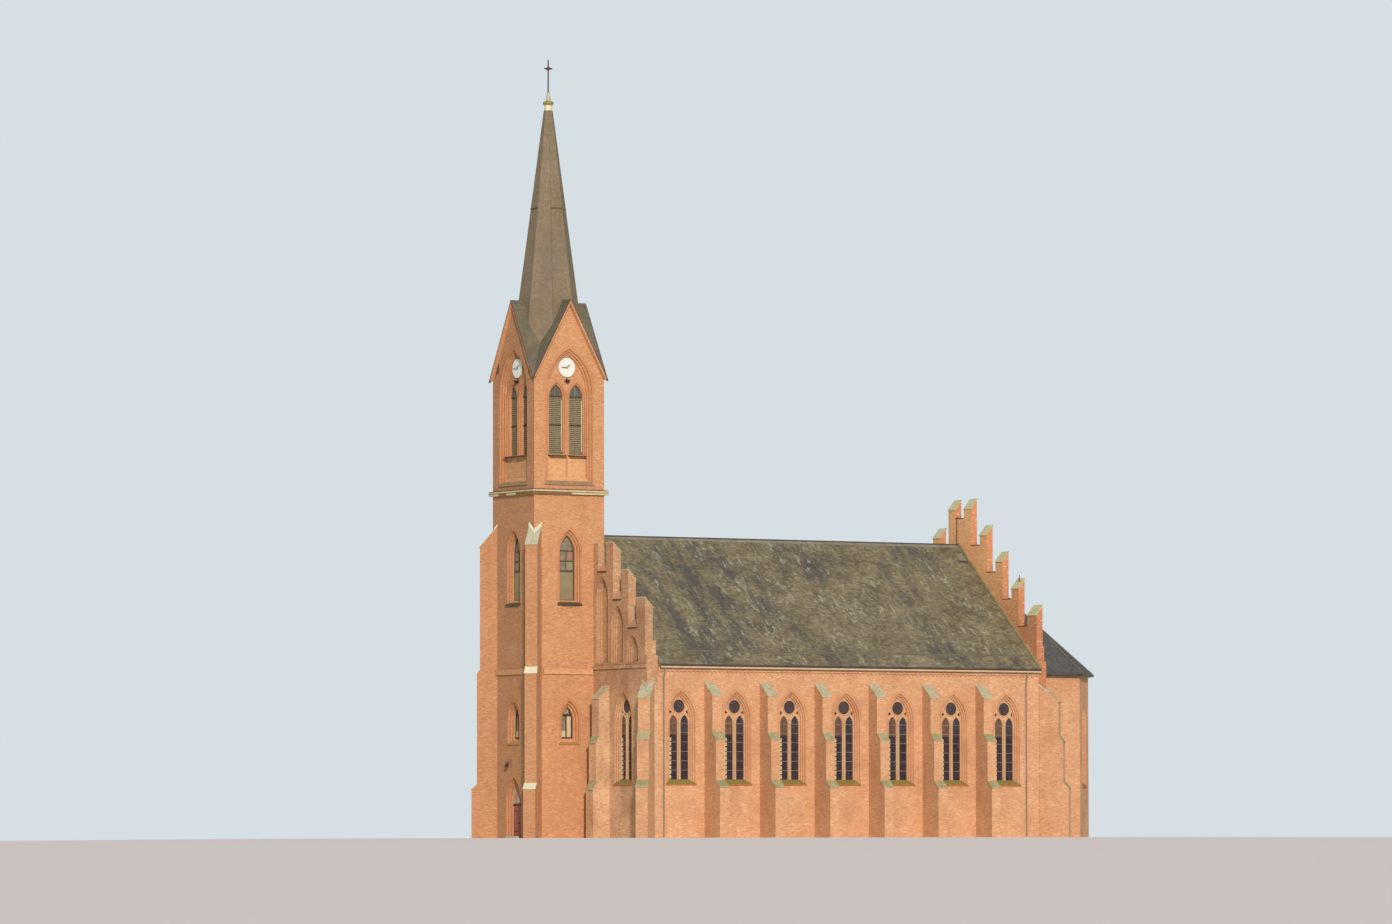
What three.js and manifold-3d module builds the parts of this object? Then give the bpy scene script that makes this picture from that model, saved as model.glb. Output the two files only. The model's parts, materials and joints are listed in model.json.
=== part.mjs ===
// A brick village church as a half-size model: a square west tower with four gables and a spire,
// a seven-bay nave between two stepped gables, and a chancel with a five-sided east end.
//
// X runs from west to east, Y from south to north and Z up. Every size below is the real
// building's, in millimetres; MODEL_SCALE is applied once, when a finished solid becomes a mesh.
// While it is being built, X = 0 is the tower's west face, Y = 0 the long axis and Z = 0 the ground.

import * as THREE from 'three';
import { mergeVertices } from 'three/addons/utils/BufferGeometryUtils.js';
import { ConvexGeometry } from 'three/addons/geometries/ConvexGeometry.js';
import Module from 'manifold-3d';

const wasm = await Module();
wasm.setup();
const { Manifold, Mesh: SolidMesh } = wasm;

const MODEL_SCALE = 0.5;

// Gap left at slanted joints and at pins, and how far a cutter runs past what it cuts.
const JOINT_GAP = 0.8;
const PAST = 100;
const ARC_STEPS = 4;

// Tower.
const TOWER_HALF = 3250;
const TOWER_WALL = 900;
const STRING_BOTTOM = 27350;
const STRING_TOP = 27700;
const STRING_OVERHANG = 250;
const GABLE_FOOT = 36500;
const GABLE_APEX = 42920;
const GABLE_FOOT_HALF = 3480;
const GABLE_VERGE = 250;
const GABLE_THICK = 150;
const BRICK_BAND = { bottom: 13000, top: 13450, depth: 120, from: 800, to: 5380 };

// Spire: an octagon with a flat face to each side of the tower.
const SPIRE_FOOT = 36000;
const SPIRE_TOP = 58340;
const SPIRE_POINT = 60800;
const SPIRE_SPREAD = 0.1235;
const SPIRE_THICK = 120;

// West door.
const DOOR_HALF = 850;
const DOOR_HEAD = 2640;
const PORTAL_STEP = 150;
const PORTAL_DEPTHS = [170, 340, 520];
const REBATE_HALF = 1050;
const LEAF = { front: 535, back: 615, meeting: 14, outer: 950, bottom: 165, top: 2610 };
const PIN = { x: 650, y: 965, radius: 20, height: 130, arm: 30, knuckle: 35, levels: [520, 2120] };

// Nave.
const NAVE_HALF = 11400;
const NAVE_WALL = 700;
const FRONT_X = 5500;
const NAVE_WEST = 6500;
const NAVE_EAST = 43000;
const EAST_FACE = 43750;
const RIDGE = 24270;
const EAVE = 13700;
const EAVE_HALF = 11800;
const ROOF_THICK = 300;
const ROOF_FALL = (RIDGE - EAVE) / EAVE_HALF;
const WINDOW_FIRST = 8650;
const WINDOW_PITCH = 5187;
const WINDOW_COUNT = 7;
const CORBEL = { bottom: 13150, top: 13550, depth: 110 };

// Stepped gables: pinnacles every STEP across, each one STEP_DROP below the last.
const STEP = 2300;
const STEP_DROP = 2270;
const PINNACLE_TOP = 27950;
const PINNACLE_HALF = 520;
const PINNACLE_FALL = 720;
const GAP_TOP = 26450;
const GAP_DROP = 2300;
const OUTER_PINNACLE = [9830, 11130];
const FRONT_BAND = { bottom: 13400, top: 13700, depth: 120 };

// Chancel: half width, centre of the five-sided end, eaves and ridge.
const CHANCEL_HALF = 5000;
const CHANCEL_WALL = 700;
const APSE_X = 49500;
const CHANCEL_EAVE_HALF = 5400;
const CHANCEL_EAVE = 13500;
const CHANCEL_RIDGE = 18600;
const CHANCEL_THICK = 300;
const EIGHTH = Math.tan(Math.PI / 8);

const FLOOR_TOP = 150;
const GLASS_THICK = 40;

// Solids and how they are joined and cut

const AXES = {
  x: [new THREE.Vector3(0, 1, 0), new THREE.Vector3(0, 0, 1), new THREE.Vector3(1, 0, 0)],
  y: [new THREE.Vector3(1, 0, 0), new THREE.Vector3(0, 0, 1), new THREE.Vector3(0, -1, 0)],
  z: [new THREE.Vector3(1, 0, 0), new THREE.Vector3(0, 1, 0), new THREE.Vector3(0, 0, 1)],
};

function toSolid(geometry) {
  const plain = geometry.clone();
  plain.deleteAttribute('normal');
  plain.deleteAttribute('uv');
  const welded = mergeVertices(plain, 1e-3);
  return new Manifold(new SolidMesh({
    numProp: 3,
    vertProperties: new Float32Array(welded.attributes.position.array),
    triVerts: new Uint32Array(welded.index.array),
  }));
}

// An outline pushed along an axis. Along x it is (y, z), along y it is (x, z), along z (x, y).
function prism(axis, outline, from, to) {
  const shape = new THREE.Shape(outline.map(([u, v]) => new THREE.Vector2(u, v)));
  const geometry = new THREE.ExtrudeGeometry(shape, { depth: to - from, bevelEnabled: false });
  geometry.translate(0, 0, axis === 'y' ? -to : from);
  geometry.applyMatrix4(new THREE.Matrix4().makeBasis(...AXES[axis]));
  return toSolid(geometry);
}

const rectangle = (u0, u1, v0, v1) => [[u0, v0], [u1, v0], [u1, v1], [u0, v1]];
const box = (x0, x1, y0, y1, z0, z1) => prism('z', rectangle(x0, x1, y0, y1), z0, z1);
const union = (solids) => solids.reduce((sum, solid) => sum.add(solid));
const hull = (points) => toSolid(new ConvexGeometry(points.map((p) => new THREE.Vector3(...p))));

function ring(sides, radius, start = 0, centre = [0, 0]) {
  return Array.from({ length: sides }, (_, i) => {
    const angle = start + (i * 2 * Math.PI) / sides;
    return [centre[0] + radius * Math.cos(angle), centre[1] + radius * Math.sin(angle)];
  });
}

// A pin and the hole around it: both twelve-sided, so the hole's flats clear the pin's corners.
const PIN_SIDES = 12;
const pinOutline = (radius, centre) => ring(PIN_SIDES, radius, 0, centre);
const holeOutline = (radius, centre) => (
  ring(PIN_SIDES, (radius + JOINT_GAP) / Math.cos(Math.PI / PIN_SIDES), 0, centre));

// A pointed arch: straight sides up to spring, then two arcs that meet on the centre line.
function pointed(half, foot, spring, radius, centre = 0, steps = ARC_STEPS) {
  const lean = radius - half;
  const sweep = Math.acos(lean / radius);
  const right = [];
  for (let i = 0; i <= steps; i++) {
    const angle = (sweep * i) / steps;
    right.push([centre - lean + radius * Math.cos(angle), spring + radius * Math.sin(angle)]);
  }
  right[steps][0] = centre;
  const left = right.slice(0, -1).reverse().map(([u, v]) => [2 * centre - u, v]);
  return [[centre - half, foot], [centre + half, foot], ...right, ...left];
}

// Walls are drawn facing south: outer face at y = 0, thickness towards +y. This turns one by
// quarter turns (1 faces east, 2 north, 3 west) and moves its outer face's centre line.
const QUARTERS = [[1, 0], [0, 1], [-1, 0], [0, -1]];
function placed(solid, quarter, x, y) {
  const [c, s] = QUARTERS[quarter];
  return moved(solid, new THREE.Matrix4().set(c, -s, 0, x, s, c, 0, y, 0, 0, 1, 0, 0, 0, 0, 1));
}

function moved(solid, matrix) {
  const geometry = toGeometry(solid);
  geometry.applyMatrix4(matrix);
  return toSolid(geometry);
}

function toGeometry(solid) {
  const mesh = solid.getMesh();
  const geometry = new THREE.BufferGeometry();
  geometry.setAttribute('position', new THREE.BufferAttribute(new Float32Array(mesh.vertProperties), 3));
  geometry.setIndex(new THREE.BufferAttribute(new Uint32Array(mesh.triVerts), 1));
  return geometry;
}

// Openings cut through the walls

// What a stepped window takes out of a south-facing wall: each order is { half, depth }, the last
// one is cut right through unless blind, and the sill slopes from the face down to up inside.
function steppedCutter({ orders, spring, radius, faceSill, sill, centre = 0, through, steps }) {
  const widest = orders[0].half;
  const cutters = orders.map(({ half, depth }, i) => {
    const last = i === orders.length - 1;
    const to = last && through ? through + PAST : depth;
    return prism('y', pointed(half, faceSill - PAST, spring, radius - (widest - half), centre, steps), -PAST, to);
  });
  const end = (through ?? orders.at(-1).depth) + 2 * PAST;
  const flat = orders.at(-1).depth;
  const sillBody = prism('x', [
    [-2 * PAST, faceSill - 2 * PAST], [end, faceSill - 2 * PAST], [end, sill], [flat, sill],
    [0, faceSill], [-2 * PAST, faceSill],
  ], centre - widest - PAST, centre + widest + PAST);
  return union(cutters).subtract(sillBody);
}

// The two-light window: three orders, then a stone plate with two lancets, a round light and two
// small spandrels, then one wide opening behind the plate.
const TWO_LIGHT = {
  halves: [1300, 1160, 1020], depths: [120, 240, 360], plate: 150, faceSill: 4230, sill: 4600,
  spring: 9380, radius: 2500, lancetHalf: 355, lancetCentre: 515, lancetSpring: 9085,
  oculusZ: 10380, oculusRadius: 530,
};
function twoLightCutter(centre, wall) {
  const w = TWO_LIGHT;
  const recess = w.halves.map((half, i) => prism('y',
    pointed(half, w.faceSill - PAST, w.spring, w.radius - (w.halves[0] - half), centre), -PAST, w.depths[i]));
  const front = w.depths[2];
  const back = front + w.plate;
  const lights = [-1, 1].map((side) => prism('y',
    pointed(w.lancetHalf, w.faceSill - PAST, w.lancetSpring, 2 * w.lancetHalf, centre + side * w.lancetCentre),
    front - PAST, wall + PAST));
  const oculus = prism('y', ring(12, w.oculusRadius, Math.PI / 12, [centre, w.oculusZ]), front - PAST, wall + PAST);
  const spandrels = [-1, 1].map((side) => prism('y', [
    [centre + side * 630, 9930], [centre + side * 880, 9730], [centre + side * 850, 10120],
  ], front - PAST, back + PAST));
  const behind = prism('y', pointed(w.halves[2], w.faceSill - PAST, w.spring,
    w.radius - (w.halves[0] - w.halves[2]), centre), back, wall + PAST);
  const sillBody = prism('x', [
    [-2 * PAST, w.faceSill - 2 * PAST], [wall + 2 * PAST, w.faceSill - 2 * PAST], [wall + 2 * PAST, w.sill],
    [front, w.sill], [0, w.faceSill], [-2 * PAST, w.faceSill],
  ], centre - 1500, centre + 1500);
  return union([...recess, ...lights, oculus, ...spandrels, behind]).subtract(sillBody);
}

// A buttress on a south-facing wall: each stage { depth, top } ends in a sloped set-off.
function buttress(centre, width, stages, headTop) {
  const outline = [[PAST, 0], [-stages[0].depth, 0]];
  stages.forEach(({ depth, shoulder, top }, i) => {
    outline.push([-depth, shoulder]);
    outline.push([i + 1 < stages.length ? -stages[i + 1].depth : 0, top]);
  });
  outline.push([PAST, headTop]);
  return prism('x', outline, centre - width / 2, centre + width / 2);
}

// A buttress set on a corner at 45 degrees, seated with a gap on the two wall faces behind it.
function cornerButtress({ width, stages, head }, keepOut) {
  const slope = (head.top - head.shoulder) / (stages.at(-1).depth + width / 2);
  const outline = [[-width, 0], [stages[0].depth, 0]];
  stages.forEach(({ depth, shoulder, top }, i) => {
    if (i + 1 < stages.length) outline.push([depth, shoulder], [stages[i + 1].depth, top]);
  });
  outline.push([stages.at(-1).depth, head.shoulder]);
  outline.push([-width, head.shoulder + slope * (stages.at(-1).depth + width)]);
  const straight = prism('y', outline, -width / 2, width / 2);
  const out = moved(straight, new THREE.Matrix4().makeRotationZ((-3 * Math.PI) / 4));
  return out.subtract(box(keepOut, 6000, keepOut, 6000, -PAST, 40000));
}

// The walls of the tower

const FACE_LANCETS = {
  low: {
    orders: [{ half: 900, depth: 160 }, { half: 720, depth: 320 }, { half: 540, depth: 400 }],
    spring: 9320, radius: 1800, faceSill: 7480, sill: 7890, through: TOWER_WALL,
  },
  middle: {
    orders: [{ half: 1030, depth: 160 }, { half: 870, depth: 320 }, { half: 710, depth: 400 }],
    spring: 22720, radius: 2060, faceSill: 18610, sill: 18900, through: TOWER_WALL,
  },
};

const ACROSS = TOWER_HALF - TOWER_WALL;
const lancets = () => union([steppedCutter(FACE_LANCETS.low), steppedCutter(FACE_LANCETS.middle)]);

// South and north: the full width. The brick band stops short of the corner buttress.
function towerSideWall() {
  const wall = prism('y', rectangle(-TOWER_HALF, TOWER_HALF, 0, STRING_BOTTOM), 0, TOWER_WALL);
  const band = box(BRICK_BAND.from - TOWER_HALF, BRICK_BAND.to - TOWER_HALF, -BRICK_BAND.depth, PAST,
    BRICK_BAND.bottom, BRICK_BAND.top);
  return wall.add(band).subtract(lancets());
}

// West, above the door: the upper part of the portal's orders is cut into it.
function towerWestWall() {
  const wall = prism('y', rectangle(-ACROSS, ACROSS, DOOR_HEAD, STRING_BOTTOM), 0, TOWER_WALL);
  const band = box(-ACROSS, ACROSS, -BRICK_BAND.depth, PAST, BRICK_BAND.bottom, BRICK_BAND.top);
  const outer = DOOR_HALF + 2 * PORTAL_STEP;
  const portal = PORTAL_DEPTHS.map((depth, i) => prism('y', pointed(outer - i * PORTAL_STEP,
    DOOR_HEAD - PAST, 2960, 1.8 * outer - i * PORTAL_STEP), -PAST, depth));
  return wall.add(band).subtract(lancets()).subtract(union(portal));
}

function towerEastWall() {
  const wall = prism('y', rectangle(-ACROSS, ACROSS, 0, STRING_BOTTOM), 0, TOWER_WALL);
  return wall.subtract(prism('y', pointed(1500, -PAST, 4200, 2700), -PAST, TOWER_WALL + PAST));
}

// One jamb of the west door, north of the axis, with the two hinge pins on their arms.
function doorJamb() {
  const [d1, d2, d3] = PORTAL_DEPTHS;
  const plan = [
    [0, ACROSS], [0, DOOR_HALF + 2 * PORTAL_STEP], [d1, DOOR_HALF + 2 * PORTAL_STEP],
    [d1, DOOR_HALF + PORTAL_STEP], [d2, DOOR_HALF + PORTAL_STEP], [d2, DOOR_HALF], [d3, DOOR_HALF],
    [d3, REBATE_HALF], [TOWER_WALL, REBATE_HALF], [TOWER_WALL, ACROSS],
  ];
  const pins = PIN.levels.flatMap((z) => [
    box(PIN.x - PIN.radius, PIN.x + PIN.radius, PIN.y, REBATE_HALF + 50, z, z + PIN.arm),
    prism('z', pinOutline(PIN.radius, [PIN.x, PIN.y]), z, z + PIN.arm + PIN.height),
  ]);
  return union([prism('z', plan, 0, DOOR_HEAD), ...pins]);
}

// The north door leaf, closed, with its straps and knuckles.
function doorLeaf() {
  const panel = box(LEAF.front, LEAF.back, LEAF.meeting, LEAF.outer, LEAF.bottom, LEAF.top);
  const straps = PIN.levels.flatMap((z) => {
    const from = z + PIN.arm + JOINT_GAP;
    const to = z + PIN.arm + PIN.height - 20;
    return [
      prism('z', ring(PIN_SIDES, PIN.knuckle, 0, [PIN.x, PIN.y]), from, to),
      box(LEAF.back - 10, PIN.x - 8, LEAF.outer - 600, PIN.y - 5, from, to),
    ];
  });
  const holes = PIN.levels.map((z) => prism('z', holeOutline(PIN.radius, [PIN.x, PIN.y]), z, z + 300));
  return union([panel, ...straps]).subtract(union(holes));
}

// The belfry

const GABLE_SLOPE = (GABLE_APEX - GABLE_FOOT) / GABLE_FOOT_HALF;
const BELFRY = {
  orders: [{ half: 2155, depth: 150 }, { half: 1980, depth: 300 }, { half: 1800, depth: 420 }],
  spring: 35500, radius: 3900, faceSill: 28140, sill: 28730,
};
const LOUVRE_LANCET = { half: 640, centre: 930, foot: 30540, spring: 35040, subHalf: 760, subDepth: 90 };

function belfryWall(half) {
  const apex = GABLE_APEX - GABLE_THICK - 2 * JOINT_GAP;
  const shoulder = Math.min(half, (apex - GABLE_FOOT) / GABLE_SLOPE);
  const outline = [
    [-half, STRING_TOP], [half, STRING_TOP], [half, GABLE_FOOT],
    [shoulder, apex - shoulder * GABLE_SLOPE], [0, apex], [-shoulder, apex - shoulder * GABLE_SLOPE],
    [-half, GABLE_FOOT],
  ];
  const clean = outline.filter(([u, v], i) => i < 2 || u !== outline[i - 1][0] || v !== outline[i - 1][1]);
  const recess = steppedCutter({ ...BELFRY });
  const recessBack = BELFRY.orders[2].depth;
  const lights = [-1, 1].flatMap((side) => {
    const l = LOUVRE_LANCET;
    return [
      prism('y', pointed(l.half, l.foot, l.spring, 2 * l.half, side * l.centre), recessBack - PAST, TOWER_WALL + PAST),
      prism('y', pointed(l.subHalf, l.foot, l.spring, 2 * l.half + l.subHalf - l.half, side * l.centre),
        recessBack - PAST, recessBack + l.subDepth),
    ];
  });
  return prism('y', clean, 0, TOWER_WALL).subtract(union([recess, ...lights]));
}

// The four saddle roofs, crossed over the tower: outer shape less the same shape underneath.
function saddlePair(apex, footHalf, reach) {
  const outline = [[-footHalf, GABLE_FOOT], [footHalf, GABLE_FOOT], [0, apex]];
  return prism('y', outline, -reach, reach).add(prism('x', outline, -reach, reach));
}

function gableRoof() {
  const inner = (GABLE_APEX - GABLE_THICK - GABLE_FOOT + 2 * PAST * GABLE_SLOPE) / GABLE_SLOPE;
  const under = [[-inner, GABLE_FOOT - 2 * PAST * GABLE_SLOPE], [inner, GABLE_FOOT - 2 * PAST * GABLE_SLOPE],
    [0, GABLE_APEX - GABLE_THICK]];
  const reach = TOWER_HALF + GABLE_VERGE;
  const hollow = prism('y', under, -reach - PAST, reach + PAST).add(prism('x', under, -reach - PAST, reach + PAST));
  return saddlePair(GABLE_APEX, GABLE_FOOT_HALF, reach).subtract(hollow);
}

function pyramid(shrink, from, to) {
  const level = (z) => ring(8, SPIRE_SPREAD * (SPIRE_POINT - z) - shrink, Math.PI / 8).map(([x, y]) => [x, y, z]);
  return hull([...level(from), ...level(to)]);
}

function spire() {
  const shell = pyramid(0, SPIRE_FOOT, SPIRE_TOP).subtract(pyramid(SPIRE_THICK, SPIRE_FOOT - PAST, SPIRE_TOP - 1000));
  const lift = 2.2 * JOINT_GAP;
  const roof = saddlePair(GABLE_APEX + lift, GABLE_FOOT_HALF + lift / GABLE_SLOPE, TOWER_HALF + GABLE_VERGE);
  return shell.subtract(roof).subtract(box(-9000, 9000, -9000, 9000, SPIRE_FOOT - PAST, GABLE_FOOT));
}

// Turned pieces on the point of the spire, and the clock

function turnedSolid(profile, sides) {
  return toSolid(new THREE.LatheGeometry(profile.map(([r, z]) => new THREE.Vector2(r, z)), sides)
    .rotateX(Math.PI / 2));
}

// A dial facing south, centred on its own middle, back on y = 0, with the arbor for its hands.
const DIAL = { radius: 780, thick: 60, arbor: 30, reach: 190 };
function clockDial() {
  return prism('y', ring(32, DIAL.radius), -DIAL.thick, 0)
    .add(prism('y', pinOutline(DIAL.arbor, [0, 0]), -DIAL.reach, -DIAL.thick / 2));
}

// A hand that points up, with a hub around the arbor.
function clockHand({ length, tail, width, hub, near, thick }) {
  const blade = prism('y', [
    [-width / 2, -tail], [width / 2, -tail], [width * 0.6, length * 0.6], [0, length], [-width * 0.6, length * 0.6],
  ], -near - thick, -near);
  return blade.add(prism('y', ring(16, hub), -near - thick, -near))
    .subtract(prism('y', holeOutline(DIAL.arbor, [0, 0]), -near - thick - PAST, -near + PAST));
}
const HOUR_HAND = { length: 430, tail: 90, width: 70, hub: 75, near: 85, thick: 20 };
const MINUTE_HAND = { length: 640, tail: 110, width: 50, hub: 65, near: 135, thick: 20 };
const HOUR_ANGLE = (1.75 / 12) * 2 * Math.PI;
const MINUTE_ANGLE = 0.75 * 2 * Math.PI;

// Clockwise as seen from outside, for a hand drawn facing south.
const handAt = (hand, angle) => moved(hand, new THREE.Matrix4().makeRotationY(angle));

// The nave

const NAVE_BUTTRESS = [
  { depth: 2300, shoulder: 4010, top: 4490 },
  { depth: 1700, shoulder: 7780, top: 8300 },
  { depth: 1200, shoulder: 11240, top: 12290 },
];

const roofUnder = (across) => RIDGE - ROOF_THICK - ROOF_FALL * across;

function naveWall() {
  const outline = [
    [0, 0], [NAVE_WALL, 0], [NAVE_WALL, roofUnder(NAVE_HALF - NAVE_WALL) - JOINT_GAP],
    [0, roofUnder(NAVE_HALF) - JOINT_GAP],
  ];
  let wall = prism('x', outline, NAVE_WEST, NAVE_EAST);
  wall = wall.add(box(NAVE_WEST, NAVE_EAST, -CORBEL.depth, PAST, CORBEL.bottom, CORBEL.top));
  for (let i = 0; i + 1 < WINDOW_COUNT; i++) {
    wall = wall.add(buttress(WINDOW_FIRST + (i + 0.5) * WINDOW_PITCH, 850, NAVE_BUTTRESS, 12290));
  }
  for (let i = 0; i < WINDOW_COUNT; i++) {
    wall = wall.subtract(twoLightCutter(WINDOW_FIRST + i * WINDOW_PITCH, NAVE_WALL));
  }
  return wall;
}

function roofSlope() {
  const outline = [
    [0, RIDGE], [-EAVE_HALF, EAVE], [-EAVE_HALF, EAVE - ROOF_THICK], [0, RIDGE - ROOF_THICK],
  ];
  return prism('x', outline, NAVE_WEST, NAVE_EAST);
}

// The stepped gable's upper part on a south-facing wall, for pinnacles first to 4, on the side
// given by sign. high is the face where the caps stand high, low the other.
function gableSteps({ first, sign, wall, high, low, wallHigh, wallLow, from }) {
  const parts = [];
  const roofTop = (across) => RIDGE - ROOF_FALL * across;
  const span = (a, b) => (sign > 0 ? [a, b] : [-b, -a]);
  for (let k = first; k <= 4; k++) {
    const centre = (k + 0.5) * STEP;
    const [a, b] = k === 4 ? OUTER_PINNACLE : [centre - PINNACLE_HALF, centre + PINNACLE_HALF];
    const start = Math.max(a, from);
    const top = k === first && first > 0 ? PINNACLE_TOP - (k + 1) * STEP_DROP : PINNACLE_TOP - k * STEP_DROP;
    const full = roofTop(start) + 120;
    parts.push(prism('x', rectangle(0, wall, EAVE - 2500, full), ...span(start, b)));
    parts.push(prism('x', [
      [low, full - 300], [high, full - 300], [high, top], [low, top - PINNACLE_FALL],
    ], ...span(start, b)));
    if (k < 4) {
      const next = k === 3 ? OUTER_PINNACLE[0] : centre + STEP - PINNACLE_HALF;
      const gap = GAP_TOP - (k + 1) * GAP_DROP;
      parts.push(prism('x', [
        [wallLow, EAVE - 2500], [wallHigh, EAVE - 2500], [wallHigh, gap - 600],
        [wallHigh + (wallLow - wallHigh) * 0.45, gap], [wallLow, gap],
      ], ...span(b - 1, next + 1)));
    }
  }
  parts.push(prism('x', rectangle(0, wall, EAVE - 2500, roofTop(OUTER_PINNACLE[1]) + 50),
    ...span(OUTER_PINNACLE[1] - 1, NAVE_HALF)));
  return union(parts);
}

const BLIND_ARCH = [{ half: 870, depth: 130 }, { half: 740, depth: 260 }, { half: 610, depth: 380 }];
function blindArch(centre, apex, depthScale) {
  const radius = 1566;
  const rise = Math.sqrt(2 * radius * 870 - 870 * 870);
  return union(BLIND_ARCH.map(({ half, depth }) => prism('y',
    pointed(half, 13900, apex - rise, radius - (870 - half), centre, 3), -PAST, depth * depthScale)));
}

const FRONT_WALL = NAVE_WEST - FRONT_X;
const FRONT_BUTTRESS = [
  { depth: 1530, shoulder: 3850, top: 4400 },
  { depth: 1260, shoulder: 7560, top: 8040 },
  { depth: 980, shoulder: 11050, top: 12030 },
];
const NAVE_CORNER = {
  width: 970,
  stages: [{ depth: 1900, shoulder: 4010, top: 4490 }, { depth: 1450, shoulder: 7780, top: 8300 }, { depth: 1100 }],
  head: { shoulder: 11050, top: 12290 },
};

// The west front south of the tower, drawn facing south with the tower to its left at x = TOWER_HALF.
function westFront() {
  const lower = box(TOWER_HALF, NAVE_HALF, 0, FRONT_WALL, 0, EAVE - 2000);
  const steps = gableSteps({
    first: 1, sign: 1, wall: FRONT_WALL, high: 0, low: 700, wallHigh: 0, wallLow: FRONT_WALL, from: TOWER_HALF,
  });
  const band = box(TOWER_HALF, NAVE_HALF, -FRONT_BAND.depth, PAST, FRONT_BAND.bottom, FRONT_BAND.top);
  const solid = union([lower, steps, band, buttress(5130, 1100, FRONT_BUTTRESS, 12030)]);
  const arches = [[4600, 20690], [6900, 18390], [9200, 16030]].map(([c, apex]) => blindArch(c, apex, 1));
  return solid.subtract(union(arches)).subtract(twoLightCutter(7750, FRONT_WALL));
}

// The east gable, drawn facing south: its outer face is east, its pinnacles stand on the nave side.
function eastGable() {
  const wall = EAST_FACE - NAVE_EAST;
  const lower = box(-NAVE_HALF, NAVE_HALF, 0, wall, 0, EAVE - 2000);
  const sides = [-1, 1].map((sign) => gableSteps({
    first: 0, sign, wall, high: 150, low: wall, wallHigh: 0, wallLow: wall, from: 0,
  }));
  const middle = prism('x', rectangle(0, wall, EAVE - 2500, GAP_TOP), -STEP / 2 + PINNACLE_HALF - 1, STEP / 2 - PINNACLE_HALF + 1);
  const arches = [-1, 1].flatMap((sign) => [[6900, 18390], [9200, 16030]]
    .map(([c, apex]) => blindArch(sign * c, apex, 0.6)));
  return union([lower, middle, ...sides])
    .subtract(union(arches))
    .subtract(prism('y', pointed(3500, -PAST, 6500, 6300), -PAST, wall + PAST));
}

// The chancel

const CHANCEL_FALL = (CHANCEL_RIDGE - CHANCEL_EAVE) / CHANCEL_EAVE_HALF;
const CHANCEL_WALL_TOP = CHANCEL_RIDGE - CHANCEL_THICK - CHANCEL_FALL * CHANCEL_HALF - JOINT_GAP;
const APSE_LANCET = {
  orders: [{ half: 900, depth: 120 }, { half: 760, depth: 240 }, { half: 620, depth: 350 }],
  spring: 9700, radius: 1700, faceSill: 4230, sill: 4600, through: CHANCEL_WALL,
};

// A straight side: from the nave's east face to the first corner of the five-sided end.
function chancelSide() {
  const outer = APSE_X + CHANCEL_HALF * EIGHTH - JOINT_GAP;
  const inner = APSE_X + (CHANCEL_HALF - CHANCEL_WALL) * EIGHTH - JOINT_GAP;
  const plan = [[EAST_FACE, 0], [outer, 0], [inner, CHANCEL_WALL], [EAST_FACE, CHANCEL_WALL]];
  return prism('z', plan, 0, CHANCEL_WALL_TOP).subtract(twoLightCutter(47600, CHANCEL_WALL));
}

// One of the three end walls, drawn facing south about the end's centre.
function apseWall() {
  const outer = CHANCEL_HALF * EIGHTH - JOINT_GAP;
  const inner = (CHANCEL_HALF - CHANCEL_WALL) * EIGHTH - JOINT_GAP;
  const plan = [[-outer, 0], [outer, 0], [inner, CHANCEL_WALL], [-inner, CHANCEL_WALL]];
  return prism('z', plan, 0, CHANCEL_WALL_TOP).subtract(steppedCutter(APSE_LANCET));
}

function apseTurned(eighths) {
  const turn = new THREE.Matrix4().makeTranslation(APSE_X, 0, 0)
    .multiply(new THREE.Matrix4().makeRotationZ((eighths * Math.PI) / 4))
    .multiply(new THREE.Matrix4().makeTranslation(0, -CHANCEL_HALF, 0));
  return moved(apseWall(), turn);
}

// The plan of the chancel at a given half width, going round from the south-west corner.
function chancelPlan(half, west) {
  const e = half * EIGHTH;
  return [
    [west, -half], [APSE_X + e, -half], [APSE_X + half, -e], [APSE_X + half, e], [APSE_X + e, half], [west, half],
  ];
}

function chancelRoof() {
  const roof = (drop, west) => {
    const half = CHANCEL_EAVE_HALF + (drop ? 200 / CHANCEL_FALL - CHANCEL_THICK / CHANCEL_FALL : 0);
    const eave = CHANCEL_EAVE - (drop ? 200 : 0);
    return hull([
      ...chancelPlan(half, west).map(([x, y]) => [x, y, eave]),
      [west, 0, CHANCEL_RIDGE - drop], [APSE_X, 0, CHANCEL_RIDGE - drop],
    ]);
  };
  return roof(0, EAST_FACE).subtract(roof(CHANCEL_THICK, EAST_FACE - PAST));
}

function chancelGlass() {
  const outer = chancelPlan(CHANCEL_HALF - CHANCEL_WALL - JOINT_GAP, EAST_FACE);
  const inner = chancelPlan(CHANCEL_HALF - CHANCEL_WALL - GLASS_THICK, EAST_FACE);
  return prism('z', [...outer, ...inner.reverse()], 4100, 11700);
}

// Glass, louvres and floor

function naveGlass() {
  const south = -NAVE_HALF + NAVE_WALL;
  const plan = [
    [NAVE_WEST, south], [NAVE_EAST, south], [NAVE_EAST, south + GLASS_THICK],
    [NAVE_WEST + GLASS_THICK, south + GLASS_THICK], [NAVE_WEST + GLASS_THICK, -6000], [NAVE_WEST, -6000],
  ];
  return prism('z', plan, 4100, 11900);
}

function towerGlass() {
  const t = GLASS_THICK;
  const west = TOWER_WALL;
  const east = 2 * TOWER_HALF - TOWER_WALL;
  const plan = [
    [east, -ACROSS], [east, -ACROSS + t], [west + t, -ACROSS + t], [west + t, ACROSS - t],
    [east, ACROSS - t], [east, ACROSS], [west, ACROSS], [west, -ACROSS],
  ];
  return prism('z', plan, 7600, 24400);
}

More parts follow.
